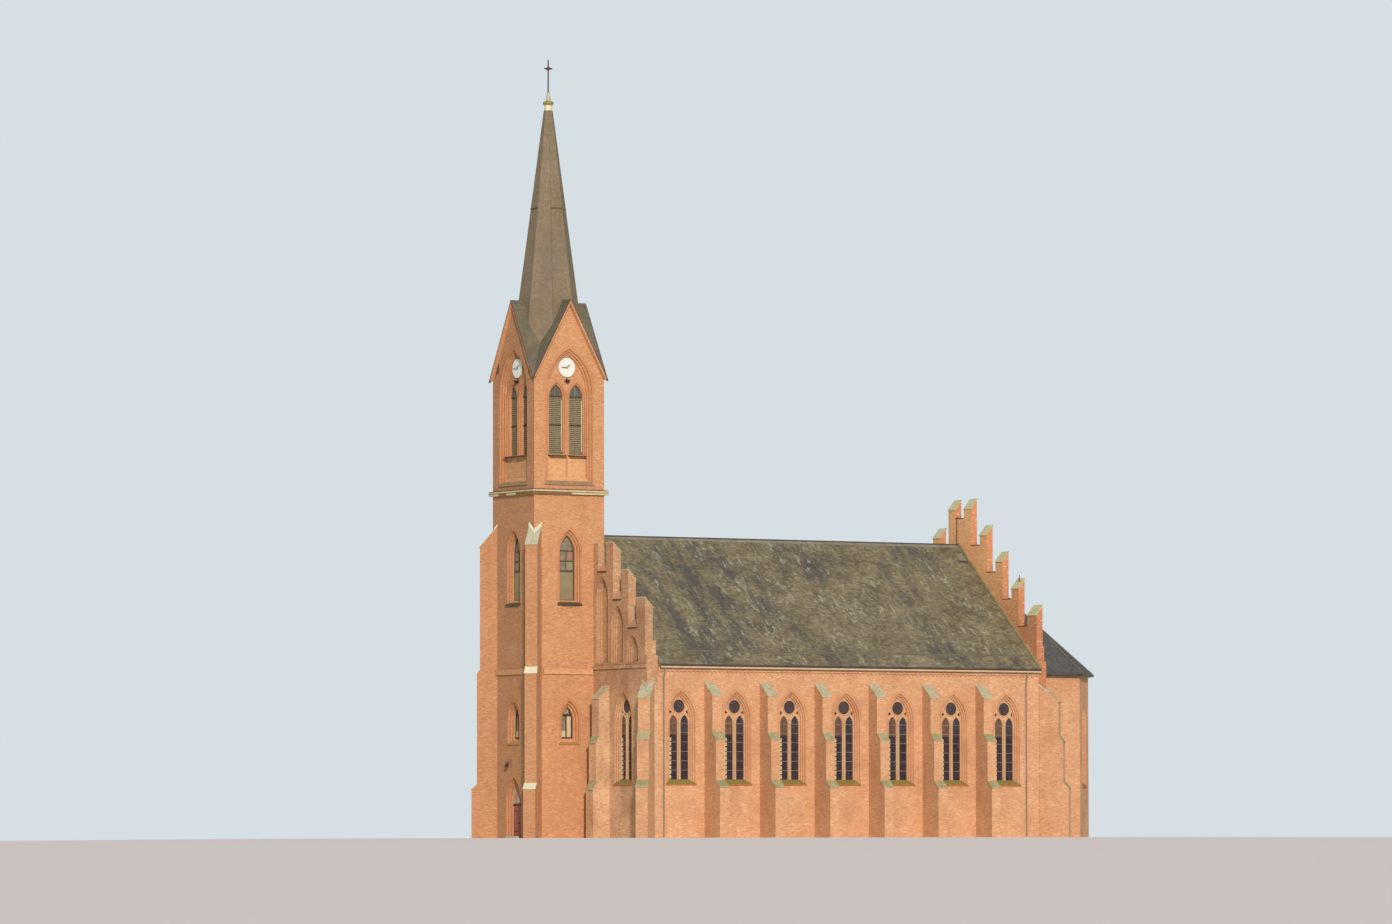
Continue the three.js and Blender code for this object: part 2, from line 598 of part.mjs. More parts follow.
function belfryLouvres() {
  const t = 60;
  return box(-ACROSS, ACROSS, -ACROSS, ACROSS, 30300, 36300)
    .subtract(box(-ACROSS + t, ACROSS - t, -ACROSS + t, ACROSS - t, 30200, 36400));
}

function stringCourse() {
  const out = TOWER_HALF + STRING_OVERHANG;
  return box(-out, out, -out, out, STRING_BOTTOM, STRING_TOP)
    .subtract(box(-ACROSS, ACROSS, -ACROSS, ACROSS, STRING_BOTTOM - PAST, STRING_TOP + PAST));
}

function churchFloor() {
  const d = PORTAL_DEPTHS[2];
  const apse = chancelPlan(CHANCEL_HALF - CHANCEL_WALL - JOINT_GAP, EAST_FACE);
  const half = [
    [0, DOOR_HALF], [d, DOOR_HALF], [d, REBATE_HALF], [TOWER_WALL, REBATE_HALF], [TOWER_WALL, ACROSS],
    [2 * TOWER_HALF - TOWER_WALL, ACROSS], [2 * TOWER_HALF - TOWER_WALL, 1500], [NAVE_WEST, 1500],
    [NAVE_WEST, NAVE_HALF - NAVE_WALL], [NAVE_EAST, NAVE_HALF - NAVE_WALL], [NAVE_EAST, 3500],
    [EAST_FACE, 3500],
  ];
  const south = half.map(([x, y]) => [x, -y]);
  return prism('z', [...south, ...apse, ...half.reverse()], 0, FLOOR_TOP);
}

// Assembly

const COLOURS = {
  brick: 0xb8683f, stone: 0xd9cdb0, slate: 0x6b655c, copper: 0x7a6a4d, wood: 0x7a4030,
  iron: 0x26262a, brass: 0xb08a3c, glass: 0x3a444a, dial: 0xf2efe4, floor: 0x9a8f80, louvre: 0x6d6a52,
};
const SHINE = { brass: [0.35, 0.9], iron: [0.5, 0.6], glass: [0.15, 0.0] };

const church = new THREE.Group();
church.name = 'church';
const finished = [];

function piece(name, solid, colour, { mirror = false } = {}) {
  const geometry = toGeometry(solid);
  if (mirror) {
    const position = geometry.attributes.position;
    for (let i = 0; i < position.count; i++) position.setY(i, -position.getY(i));
    const index = geometry.index.array;
    for (let i = 0; i < index.length; i += 3) [index[i], index[i + 1]] = [index[i + 1], index[i]];
  }
  finished.push({ name, geometry, colour });
}

const TOWER_X = TOWER_HALF;
const atTower = (solid, quarter) => {
  const out = [[0, -1], [1, 0], [0, 1], [-1, 0]][quarter];
  return placed(solid, quarter, TOWER_X + out[0] * TOWER_HALF, out[1] * TOWER_HALF);
};
const overTower = (solid) => moved(solid, new THREE.Matrix4().makeTranslation(TOWER_X, 0, 0));

piece('tower_wall_south', atTower(towerSideWall(), 0), 'brick');
piece('tower_wall_north', atTower(towerSideWall(), 0), 'brick', { mirror: true });
piece('tower_wall_west', atTower(towerWestWall(), 3), 'brick');
piece('tower_wall_east', atTower(towerEastWall(), 1), 'brick');
piece('door_jamb_north', doorJamb(), 'brick');
piece('door_jamb_south', doorJamb(), 'brick', { mirror: true });
piece('door_leaf_north', doorLeaf(), 'wood');
piece('door_leaf_south', doorLeaf(), 'wood', { mirror: true });

const TOWER_CORNER = {
  width: 970,
  stages: [{ depth: 1650, shoulder: 3900, top: 4300 }, { depth: 1200, shoulder: 13100, top: 13500 }, { depth: 950 }],
  head: { shoulder: 23300, top: 24900 },
};
const towerCorner = moved(cornerButtress(TOWER_CORNER, -JOINT_GAP), new THREE.Matrix4().makeTranslation(0, -TOWER_HALF, 0));
piece('tower_buttress_southwest', towerCorner, 'brick');
piece('tower_buttress_northwest', towerCorner, 'brick', { mirror: true });

piece('string_course', overTower(stringCourse()), 'stone');
piece('belfry_wall_south', atTower(belfryWall(TOWER_HALF), 0), 'brick');
piece('belfry_wall_north', atTower(belfryWall(TOWER_HALF), 2), 'brick');
piece('belfry_wall_west', atTower(belfryWall(ACROSS), 3), 'brick');
piece('belfry_wall_east', atTower(belfryWall(ACROSS), 1), 'brick');
piece('belfry_louvres', overTower(belfryLouvres()), 'louvre');
piece('tower_glass', towerGlass(), 'glass');
piece('gable_roof', overTower(gableRoof()), 'slate');
piece('spire', overTower(spire()), 'copper');

piece('spire_collar', overTower(turnedSolid([
  [0, SPIRE_TOP], [330, SPIRE_TOP], [316, 58600], [316, 58800], [0, 58800],
], 16)), 'stone');
piece('spire_cross', overTower(union([
  turnedSolid([
    [0, 58800], [400, 58800], [430, 58930], [400, 59060], [220, 59110], [170, 59300], [130, 59780], [60, 59880],
    [60, 61600], [150, 61660], [160, 61740], [150, 61820], [60, 61880], [50, 62400], [0, 62520],
  ], 12),
  box(-45, 45, -350, 350, 61680, 61790),
  box(-350, 350, -45, 45, 61680, 61790),
])), 'brass');

const dialBack = BELFRY.orders[2].depth;
const DIAL_Z = 37500;
const atDial = (solid, quarter) => {
  const raised = moved(solid, new THREE.Matrix4().makeTranslation(0, dialBack, DIAL_Z));
  return atTower(raised, quarter);
};
['south', 'east', 'north', 'west'].forEach((side, quarter) => {
  piece(`clock_dial_${side}`, atDial(clockDial(), quarter), 'dial');
});
for (const [side, quarter] of [['south', 0], ['west', 3]]) {
  piece(`hour_hand_${side}`, atDial(handAt(clockHand(HOUR_HAND), HOUR_ANGLE), quarter), 'iron');
  piece(`minute_hand_${side}`, atDial(handAt(clockHand(MINUTE_HAND), MINUTE_ANGLE), quarter), 'iron');
}

piece('nave_wall_south', placed(naveWall(), 0, 0, -NAVE_HALF), 'brick');
piece('nave_wall_north', placed(naveWall(), 0, 0, -NAVE_HALF), 'brick', { mirror: true });
piece('nave_roof_south', roofSlope(), 'slate');
piece('nave_roof_north', roofSlope(), 'slate', { mirror: true });
piece('nave_glass_south', naveGlass(), 'glass');
piece('nave_glass_north', naveGlass(), 'glass', { mirror: true });
piece('west_front_south', placed(westFront(), 3, FRONT_X, 0), 'brick');
piece('west_front_north', placed(westFront(), 3, FRONT_X, 0), 'brick', { mirror: true });
piece('east_gable', placed(eastGable(), 1, EAST_FACE, 0), 'brick');

const naveCorner = cornerButtress(NAVE_CORNER, -JOINT_GAP);
const westCorner = moved(naveCorner, new THREE.Matrix4().makeTranslation(FRONT_X, -NAVE_HALF, 0));
piece('nave_buttress_southwest', westCorner, 'brick');
piece('nave_buttress_northwest', westCorner, 'brick', { mirror: true });
const eastCorner = placed(naveCorner, 1, EAST_FACE, -NAVE_HALF);
piece('nave_buttress_southeast', eastCorner, 'brick');
piece('nave_buttress_northeast', eastCorner, 'brick', { mirror: true });

piece('chancel_wall_south', placed(chancelSide(), 0, 0, -CHANCEL_HALF), 'brick');
piece('chancel_wall_north', placed(chancelSide(), 0, 0, -CHANCEL_HALF), 'brick', { mirror: true });
piece('apse_wall_southeast', apseTurned(1), 'brick');
piece('apse_wall_east', apseTurned(2), 'brick');
piece('apse_wall_northeast', apseTurned(3), 'brick');
piece('chancel_roof', chancelRoof(), 'slate');
piece('chancel_glass', chancelGlass(), 'glass');
piece('church_floor', churchFloor(), 'floor');

// The model's origin is the middle of its bounding box in plan, on the ground, to the millimetre.
const bounds = new THREE.Box3();
for (const { geometry } of finished) {
  geometry.computeBoundingBox();
  bounds.union(geometry.boundingBox);
}
export const SHIFT_X = -Math.round((bounds.min.x + bounds.max.x) / 2);

for (const { name, geometry, colour } of finished) {
  geometry.translate(SHIFT_X, 0, 0);
  geometry.scale(MODEL_SCALE, MODEL_SCALE, MODEL_SCALE);
  const flat = geometry.toNonIndexed();
  flat.computeVertexNormals();
  const [roughness, metalness] = SHINE[colour] ?? [0.85, 0];
  const mesh = new THREE.Mesh(flat, new THREE.MeshStandardMaterial({ color: COLOURS[colour], roughness, metalness }));
  mesh.name = name;
  church.add(mesh);
}

export default church;
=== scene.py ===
import json
import math

import bmesh
import bpy
import numpy as np
from mathutils import Matrix, Vector


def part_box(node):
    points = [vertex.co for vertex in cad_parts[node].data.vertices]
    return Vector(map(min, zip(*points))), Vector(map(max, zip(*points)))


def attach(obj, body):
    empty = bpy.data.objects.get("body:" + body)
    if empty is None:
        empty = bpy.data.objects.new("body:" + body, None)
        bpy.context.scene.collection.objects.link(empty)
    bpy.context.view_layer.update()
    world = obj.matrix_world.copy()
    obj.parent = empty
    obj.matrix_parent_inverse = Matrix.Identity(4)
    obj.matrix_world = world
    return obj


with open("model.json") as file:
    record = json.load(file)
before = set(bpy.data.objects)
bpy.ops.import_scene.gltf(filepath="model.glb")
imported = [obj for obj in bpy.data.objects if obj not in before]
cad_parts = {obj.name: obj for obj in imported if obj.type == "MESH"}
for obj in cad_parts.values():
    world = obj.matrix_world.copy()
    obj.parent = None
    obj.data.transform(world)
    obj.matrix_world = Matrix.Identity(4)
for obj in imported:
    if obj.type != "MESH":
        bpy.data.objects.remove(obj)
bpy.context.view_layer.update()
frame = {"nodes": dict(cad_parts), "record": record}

# Every size below is the real building's, in metres: X runs east from the tower's west face, Y north from
# the long axis and Z up from the foot of the walls. place() sets it down in the frame, at the model's half
# size.
MODEL_SCALE = 0.5
BRICK_BAND_OUT = 0.12
WEST_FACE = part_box("tower_wall_west")[0].x + BRICK_BAND_OUT * MODEL_SCALE

TOWER_HALF = 3.25
STRING_BOTTOM = 27.35
STRING_TOP = 27.7
GABLE_FOOT = 36.5
GABLE_APEX = 42.92
GABLE_FOOT_HALF = 3.48
GABLE_VERGE = 0.25
GABLE_SLOPE = (GABLE_APEX - GABLE_FOOT) / GABLE_FOOT_HALF
SPIRE_POINT = 60.8
SPIRE_TOP = 58.34
SPIRE_SPREAD = 0.1235
SPIRE_LEDGE = 50.4
NAVE_HALF = 11.4
FRONT_X = 5.5
NAVE_WEST = 6.5
NAVE_EAST = 43.0
EAST_FACE = 43.75
RIDGE = 24.27
EAVE = 13.7
EAVE_HALF = 11.8
WINDOW_FIRST = 8.65
WINDOW_PITCH = 5.187
WINDOW_COUNT = 7
STEP = 2.3
STEP_DROP = 2.27
PINNACLE_TOP = 27.95
PINNACLE_HALF = 0.52
PINNACLE_FALL = 0.72
OUTER_PINNACLE = (9.83, 11.13)
GAP_TOP = 26.45
GAP_DROP = 2.3
CHANCEL_HALF = 5.0
APSE_X = 49.5
CHANCEL_EAVE = 13.5
CHANCEL_EAVE_HALF = 5.4
CHANCEL_RIDGE = 18.6
BRICK = (0.25, 0.075)
CAP_LIP = 0.035
CAP_THICK = 0.06
CAP_OVER = 0.05

# In an octagon, half a side for each metre from its centre to the side
EIGHTH = math.tan(math.pi / 8)

# How much light, in red, green and blue, falls on a wall that faces south
SOUTH_LIGHT = (1.27, 1.08, 1.07)


def place(points):
    """Real metres to the frame: halved, and moved so that the tower's west face is where the frame has it."""
    return np.asarray(points, float) * MODEL_SCALE + (WEST_FACE, 0.0, 0.0)


def linked(name, data):
    """A new object in the scene."""
    thing = bpy.data.objects.new(name, data)
    bpy.context.scene.collection.objects.link(thing)
    return thing


# The camera stands where the photograph was taken, south-west of the church and a little below its floor
def photograph_camera():
    """A camera far to the south-west with a long lens, looking slightly up, almost without roll."""
    stand = (-280.13, -476.74, -0.2314)
    ahead = Vector((0.52838, 0.84725, 0.05455))
    right = Vector((0.84856, -0.52909, -0.0017))
    focal_pixels = 6931.26
    picture_width = 1392
    camera = linked("camera", bpy.data.cameras.new("camera"))
    turn = Matrix((right, right.cross(ahead).normalized(), -ahead)).transposed()
    camera.matrix_world = Matrix.Translation(Vector(place(stand))) @ turn.to_4x4()
    camera.data.sensor_width = 36.0
    camera.data.lens = focal_pixels / picture_width * camera.data.sensor_width
    camera.data.clip_start = 1.0
    camera.data.clip_end = 3000.0
    bpy.context.scene.camera = camera


# Shapes: their corners in real metres, and their faces. On a wall they are (along, up, out of the wall).
ALONG, UP, OUT = 0, 1, 2


def about(centre, half):
    """The two ends of what reaches so far to each side of its centre."""
    return centre - half, centre + half


def spots(*parts):
    """Points from their coordinates, each of which is one number for all or an array."""
    return np.stack(np.broadcast_arrays(*parts), -1).astype(float)


def box_faces(count):
    """The six faces of each of so many blocks, whose eight corners are numbered block by block."""
    order = np.array([[0, 3, 2, 1], [4, 5, 6, 7], [0, 1, 5, 4], [1, 2, 6, 5], [2, 3, 7, 6], [3, 0, 4, 7]])
    return (np.arange(count)[:, None, None] * 8 + order).reshape(-1, 4).tolist()


def block(along, up, out):
    """A square block between its two ends along, up and out, or a row of blocks where the ends are arrays.
    Each corner is the low corner plus the block's size times a corner of the unit cube."""
    low, high = (np.atleast_2d(spots(*ends)) for ends in zip(along, up, out))
    unit = np.array([[0, 0, 0], [1, 0, 0], [1, 1, 0], [0, 1, 0], [0, 0, 1], [1, 0, 1], [1, 1, 1], [0, 1, 1]])
    corners = low[:, None] + (high - low)[:, None] * unit
    return corners.reshape(-1, 3), box_faces(len(low))


def skin(rings, sides, closed=False):
    """Faces from each ring of corners to the next, and over both ends where the last ring doesn't meet the
    first."""
    row, col = np.arange(rings if closed else rings - 1)[:, None], np.arange(sides)[None, :]
    nxt, side = (row + 1) % rings * sides, (col + 1) % sides
    row = row * sides
    faces = np.stack([row + col, row + side, nxt + side, nxt + col], 2).reshape(-1, 4).tolist()
    if not closed:
        faces += [list(range(sides))[::-1], list(range((rings - 1) * sides, rings * sides))]
    return faces


def headings(path, closed):
    """Unit vectors to the left of each leg before and after every point of a flat path."""
    legs = np.roll(path, -1, 0) - path if closed else np.diff(path, axis=0)
    left = np.stack([-legs[:, 1], legs[:, 0]], 1) / np.linalg.norm(legs, axis=1)[:, None]
    if closed:
        return np.roll(left, 1, 0), left
    return np.concatenate([left[:1], left]), np.concatenate([left, left[-1:]])


def carried(profile, path, closed=False):
    """A profile of (beside, out) points carried along a flat path: at each point it stands in the plane that
    halves the bend, stretched so that the sides stay parallel."""
    profile, path = np.asarray(profile, float), np.asarray(path, float)
    before, after = headings(path, closed)
    middle = before + after
    middle /= np.linalg.norm(middle, axis=1)[:, None]
    middle /= np.maximum((middle * after).sum(1), 0.35)[:, None]
    flat = path[:, None] + middle[:, None] * profile[None, :, :1]
    corners = spots(flat[..., 0], flat[..., 1], profile[:, 1])
    return corners.reshape(-1, 3), skin(len(path), len(profile), closed)


def drawn_out(outline, low, high, axis):
    """A flat outline drawn out between two distances along one of a wall's three axes."""
    ends = [np.insert(np.asarray(outline, float), axis, distance, axis=1) for distance in (low, high)]
    return np.concatenate(ends), skin(2, len(outline))


def slab(plan, foot, slope, thick):
    """A slab lying on a slope: plan holds its (along, out) corners, foot is the (out, up) point where the
    slope starts, and slope is its rise for each metre further back."""
    plan = np.asarray(plan, float)
    under = foot[1] + slope * (foot[0] - plan[:, 1])
    ends = [spots(plan[:, 0], under + lift, plan[:, 1]) for lift in (0.0, thick)]
    return np.concatenate(ends), skin(2, len(plan))


def span(centre, half, front, back):
    """A rectangle in plan: along from centre - half to centre + half, out from back to front."""
    return [(centre - half, front), (centre + half, front), (centre + half, back), (centre - half, back)]


def circle(radius, centre=(0.0, 0.0), sides=32):
    """Points round a circle, anticlockwise from the right."""
    angle = np.arange(sides) * 2 * math.pi / sides
    return np.stack([centre[0] + radius * np.cos(angle), centre[1] + radius * np.sin(angle)], 1)


def turned(profile, sides, centre):
    """A profile of (radius, height) points turned about an upright axis, closed at the poles."""
    radius, height = np.asarray(profile, float).T[:, :, None]
    unit = circle(1.0, sides=sides)
    corners = spots(radius * unit[:, 0], height, radius * unit[:, 1])
    return corners.reshape(-1, 3) + np.asarray(centre), skin(len(profile), sides)


def arch(half, foot, spring, radius, centre=0.0, steps=10):
    """A pointed arch with its jambs, from the left foot to the right one. Each side is an arc that starts
    upright at the spring line and stops over the middle."""
    reach = radius - half
    turn = np.linspace(0.0, math.acos(reach / radius), steps + 1)
    left = np.stack([centre + reach - radius * np.cos(turn), spring + radius * np.sin(turn)], 1)
    right = left[::-1][1:] * (-1, 1) + (2 * centre, 0)
    return np.concatenate([[[centre - half, foot]], left, right, [[centre + half, foot]]])


def rod(radius, sides=6, out=0.0, beside=0.0):
    """The profile of a round rod."""
    return circle(radius, (beside, out), sides)


def hoop(radius, centre, thick, out, sides=16, round_sides=6):
    """A round rod bent to a ring."""
    return carried(rod(thick, round_sides, out), circle(radius, centre, sides), True)


def strip(path, width, back, front):
    """A flat bar, centred on its path."""
    half = width / 2
    return carried([(-half, back), (half, back), (half, front), (-half, front)], path)


def ray(turn, near, far, centre):
    """Two points on a ray from a centre. turn is clockwise from the top, in whole turns."""
    way = np.array([math.sin(turn * 2 * math.pi), math.cos(turn * 2 * math.pi)])
    return np.array([near * way, far * way]) + centre


def repeated(shape, offsets):
    """Copies of a shape, one moved by each offset."""
    corners, faces = shape
    starts = range(0, len(corners) * len(offsets), len(corners))
    moved = (corners + offsets[:, None]).reshape(-1, 3)
    return moved, [[i + start for i in side] for start in starts for side in faces]


def voussoirs(path, inner, outer, back, front, joint=0.012, spacing=0.087):
    """Arch bricks: the path is cut in even lengths, and each length gives a wedge from the inner to the
    outer offset, between the back and front distances."""
    reach = np.concatenate([[0.0], np.cumsum(np.linalg.norm(np.diff(path, axis=0), axis=1))])
    cuts = np.linspace(0.0, reach[-1], max(1, int(reach[-1] // spacing)) + 1)
    points = np.stack([np.interp(cuts, reach, path[:, k]) for k in (0, 1)], 1)
    step = np.diff(points, axis=0)
    gap = step / np.linalg.norm(step, axis=1)[:, None] * joint / 2
    before, after = headings(points, False)
    left = before + after
    left /= np.linalg.norm(left, axis=1)[:, None]
    ends = [(points[:-1] + gap, left[:-1]), (points[1:] - gap, left[1:])]
    flat = [end + side * inner for end, side in ends] + [end + side * outer for end, side in ends[::-1]]
    corners = np.stack([spots(p[:, 0], p[:, 1], out) for out in (back, front) for p in flat], 1)
    return corners.reshape(-1, 3), box_faces(len(step))


class Face:
    """A wall's face seen from outside: local points are (along to the right, up, out of the wall). turn is 0
    for a face to the south, 90 to the east, 180 to the north and 270 to the west."""

    def __init__(self, x, y, turn, forward=0.0):
        angle = math.radians(turn)
        self.axes = np.array([
            [math.cos(angle), math.sin(angle), 0.0],
            [0.0, 0.0, 1.0],
            [math.sin(angle), -math.cos(angle), 0.0],
        ])
        self.start = np.array([x, y, 0.0]) + self.axes[OUT] * forward

    def put(self, shape):
        """A local shape as a shape of the building."""
        corners, *faces_and_tones = shape
        return (corners @ self.axes + self.start, *faces_and_tones)


# Finishes
class Finish:
    """Shader nodes of one material, joined by their outputs. spot is the place on the real building."""

    def __init__(self, name, roughness=0.85, metallic=0.0):
        self.material = bpy.data.materials.new(name)
        self.material.use_nodes = True
        self.tree = self.material.node_tree
        self.shader = self.tree.nodes["Principled BSDF"]
        self.shader.inputs["Roughness"].default_value = roughness
        self.shader.inputs["Metallic"].default_value = metallic
        source = self.tree.nodes.new("ShaderNodeTexCoord")
        self.normal = source.outputs["Normal"]
        self.spot = self.scaled(source.outputs["Object"], (1 / MODEL_SCALE,) * 3)

    def feed(self, socket, value):
        """Joins an output to a socket, or sets the socket's own value."""
        if isinstance(value, bpy.types.NodeSocket):
            self.tree.links.new(value, socket)
        else:
            socket.default_value = value

    def add(self, kind, inputs, **settings):
        """A node with its settings and inputs."""
        node = self.tree.nodes.new(kind)
        for key, value in settings.items():
            setattr(node, key, value)
        for key, value in inputs.items():
            self.feed(node.inputs[key], value)
        return node

    def scaled(self, vector, by):
        """A vector times three numbers."""
        return self.add("ShaderNodeVectorMath", {0: vector, 1: by}, operation="MULTIPLY").outputs[0]

    def sum(self, operation, first, second=0.0):
        """One step of arithmetic."""
        return self.add("ShaderNodeMath", {0: first, 1: second}, operation=operation).outputs[0]

    def times(self, first, second):
        """A product."""
        return self.sum("MULTIPLY", first, second)

    def plus(self, first, second):
        """A sum of two."""
        return self.sum("ADD", first, second)

    def parts(self, vector):
        """The three parts of a vector."""
        return self.add("ShaderNodeSeparateXYZ", {0: vector}).outputs

    def noise(self, size, stretch=(1, 1, 1), detail=4.0, rough=0.55):
        """Soft noise whose lumps are about size metres across, drawn out by stretch."""
        inputs = {"Vector": self.scaled(self.spot, tuple(1 / (size * s) for s in stretch)), "Scale": 1.0,
                  "Detail": detail, "Roughness": rough}
        return self.add("ShaderNodeTexNoise", inputs).outputs["Fac"]

    def spread(self, value, low, high, to_low=0.0, to_high=1.0):
        """Maps low..high to to_low..to_high, held at both ends."""
        inputs = {"Value": value, "From Min": low, "From Max": high, "To Min": to_low, "To Max": to_high}
        return self.add("ShaderNodeMapRange", inputs).outputs[0]

    def cloud(self, size, low, high, **how):
        """Soft noise, as 0 below low and 1 above high."""
        return self.spread(self.noise(size, **how), low, high)

    def mix(self, factor, first, second, blend="MIX"):
        """Two colours mixed by a factor."""
        node = self.add("ShaderNodeMix", {}, data_type="RGBA", blend_type=blend)
        for socket, value in ((0, factor), (6, first), (7, second)):
            self.feed(node.inputs[socket], value)
        return node.outputs[2]

    def cover(self, colour, tint, where, amount):
        """A colour under a tint, which covers it by amount where the mask is 1."""
        return self.mix(self.times(where, amount), colour, tint)

    def done(self, colour, height, distance, strength=0.4):
        """The material, with its colour and a height map that stands distance real metres high."""
        self.feed(self.shader.inputs["Base Color"], colour)
        inputs = {"Height": height, "Distance": distance * MODEL_SCALE, "Strength": strength}
        self.feed(self.shader.inputs["Normal"], self.add("ShaderNodeBump", inputs).outputs[0])
        return self.material

    def wall_place(self):
        """Place on a wall: along it, worked out from the direction that the wall faces, and up."""
        across = self.parts(self.normal)
        x, y, z = self.parts(self.spot)
        flat = self.sum("SQRT", self.plus(self.times(across[0], across[0]),
                                          self.plus(self.times(across[1], across[1]), 1e-4)))
        along = self.sum("SUBTRACT", self.times(y, across[0]), self.times(x, across[1]))
        return self.add("ShaderNodeCombineXYZ", {0: self.sum("DIVIDE", along, flat), 1: z}).outputs[0]


def rgb(red, green, blue):
    """A colour given as it shows on screen, 0 to 255, as the linear values that a shader takes."""
    shown = np.array([red, green, blue]) / 255
    linear = np.where(shown <= 0.04045, shown / 12.92, ((shown + 0.055) / 1.055) ** 2.4)
    return (*[float(c) for c in linear], 1.0)


def sunlit(red, green, blue):
    """The colour of a surface that shows as this one where the low sun falls full on a south wall: what
    shows, divided by the light."""
    return (*[min(0.95, c / light) for c, light in zip(rgb(red, green, blue), SOUTH_LIGHT)], 1.0)


def shade(colour, by):
    """A colour made darker or lighter by a factor."""
    return (*[min(0.95, c * by) for c in colour[:3]], 1.0)


def brick_finish(name, base, mortar, stain, pale, dirt=0.3, mottle=0.3, course=True, sides=None, west_shade=0.2,
                 foot=None):
    """Fired brick: each brick has its own tint, a few are pale or burnt, and the mortar lies back. Soft
    patches, pale bloom and rain runs cross the courses. The faces to the west are darker by west_shade,
    which is painted shade. sides is the colour of the faces to north and south, and foot holds the colour lower
    down and the heights between which it begins."""
    f = Finish(name, roughness=0.9)
    colour, mortar, stain, pale = (sunlit(*tint) for tint in (base, mortar, stain, pale))
    if sides:
        facing = f.sum("ABSOLUTE", f.parts(f.normal)[1])
        colour = f.mix(f.spread(facing, 0.5, 0.9), colour, sunlit(*sides))
    if foot:
        tint, none, full = foot
        height = f.plus(f.parts(f.spot)[2], f.times(f.noise(1.6), 4.0))
        colour = f.mix(f.spread(height, none, full, 0.0, 0.85), colour, sunlit(*tint))
    relief = f.times(f.noise(0.05), 0.3)
    if course:
        inputs = {"Vector": f.wall_place(), "Color1": (0, 0, 0, 1), "Color2": (1, 1, 1, 1),
                  "Mortar": (0.5, 0.5, 0.5, 1), "Scale": 1.0, "Mortar Size": 0.006, "Mortar Smooth": 0.3,
                  "Bias": 0.0, "Brick Width": BRICK[0] + 0.01, "Row Height": BRICK[1] + 0.002}
        laid = f.add("ShaderNodeTexBrick", inputs)
        own, joints = laid.outputs["Color"], laid.outputs["Fac"]
        colour = f.mix(1.0, colour, f.mix(own, (0.88, 0.87, 0.85, 1), (1.1, 1.11, 1.13, 1)), "MULTIPLY")
        colour = f.mix(f.spread(own, 0.88, 0.96, 0.0, 0.45), colour, pale)
        colour = f.mix(f.spread(own, 0.12, 0.04, 0.0, 0.4), colour, stain)
        colour = f.cover(colour, mortar, joints, 0.8)
        relief = f.sum("SUBTRACT", relief, joints)
    colour = f.cover(colour, stain, f.cloud(2.8, 0.42, 0.68, detail=5, rough=0.62), mottle)
    colour = f.cover(colour, pale, f.cloud(1.0, 0.55, 0.74, stretch=(1, 1, 0.6), detail=6, rough=0.7), mottle)
    colour = f.cover(colour, pale, f.cloud(0.28, 0.66, 0.74, detail=3, rough=0.6), mottle * 1.6)
    colour = f.cover(colour, stain, f.cloud(0.6, 0.54, 0.76, stretch=(1, 1, 9)), dirt)
    # Painted shade: faces to the west are mixed towards dark brown by west_shade
    west_shade_mask = f.spread(f.parts(f.normal)[0], 0.0, -1.0, 0.0, west_shade)
    return f.done(f.mix(west_shade_mask, colour, (0.1, 0.035, 0.012, 1)), relief, 0.008)


def stone_finish(name, light, dark, moss, mossy=0.3, shown=sunlit):
    """Weathered pale stone: grain, darker rain runs, and growth that is thickest on top."""
    f = Finish(name, roughness=0.82)
    light, dark, moss = (shown(*tint) for tint in (light, dark, moss))
    colour = f.mix(f.cloud(0.35, 0.3, 0.7, detail=6, rough=0.65), light, dark)
    colour = f.cover(colour, dark, f.cloud(0.4, 0.5, 0.72, stretch=(1, 1, 5)), 0.5)
    facing = f.spread(f.parts(f.normal)[2], 0.1, 0.8, 0.35, 1.0)
    growth = f.times(f.cloud(0.8, 0.62 - mossy / 2, 0.8 - mossy / 3, detail=6, rough=0.7), facing)
    return f.done(f.cover(colour, moss, growth, min(1.0, mossy * 2)), f.noise(0.06, detail=5), 0.01)


def sill_finish(name, edge, top):
    """A sill: one colour on its upright front, and another, mossy one on its slope."""
    f = Finish(name, roughness=0.88)
    grain = f.cloud(0.3, 0.3, 0.7, detail=6, rough=0.65)
    edge, top = sunlit(*edge), sunlit(*top)
    front, upper = f.mix(grain, edge, shade(edge, 0.75)), f.mix(grain, top, shade(top, 0.7))
    lying = f.spread(f.plus(f.parts(f.normal)[2], f.times(f.noise(0.5, detail=5), 0.3)), 0.3, 0.55)
    return f.done(f.mix(lying, front, upper), f.noise(0.06, detail=5), 0.01)


def slate_finish(name, light, dark, growth, patch_tone, fall, growing, patch_share):
    """Slates: each has its own slight tone. Growth runs down the slope in short pale streaks, and large
    patches take a darker tone. fall is how far the runs are drawn out along each axis."""
    f = Finish(name, roughness=0.7)
    light, dark, growth, patch_tone = (sunlit(*tint) for tint in (light, dark, growth, patch_tone))
    tone = f.add("ShaderNodeAttribute", {}, attribute_name="tone").outputs["Fac"]
    own = f.plus(f.times(tone, 0.3), f.times(f.noise(2.6, detail=6, rough=0.68), 1.1))
    colour = f.mix(f.spread(own, 0.45, 0.95), dark, light)
    patch_area = f.cloud(8.0, 0.46, 0.58, stretch=(1, 1, 0.8), detail=3)
    patch_grain = f.cloud(1.3, 0.42, 0.6, stretch=fall, detail=5, rough=0.7)
    colour = f.cover(colour, patch_tone, f.times(patch_area, patch_grain), patch_share)
    runs = f.plus(f.times(f.noise(0.34, stretch=fall, rough=0.6), 0.92), f.times(tone, 0.08))
    colour = f.cover(colour, growth, f.spread(runs, 0.56, 0.64), f.times(f.cloud(5.0, 0.38, 0.56), growing))
    return f.done(colour, f.noise(0.09), 0.006, 0.5)


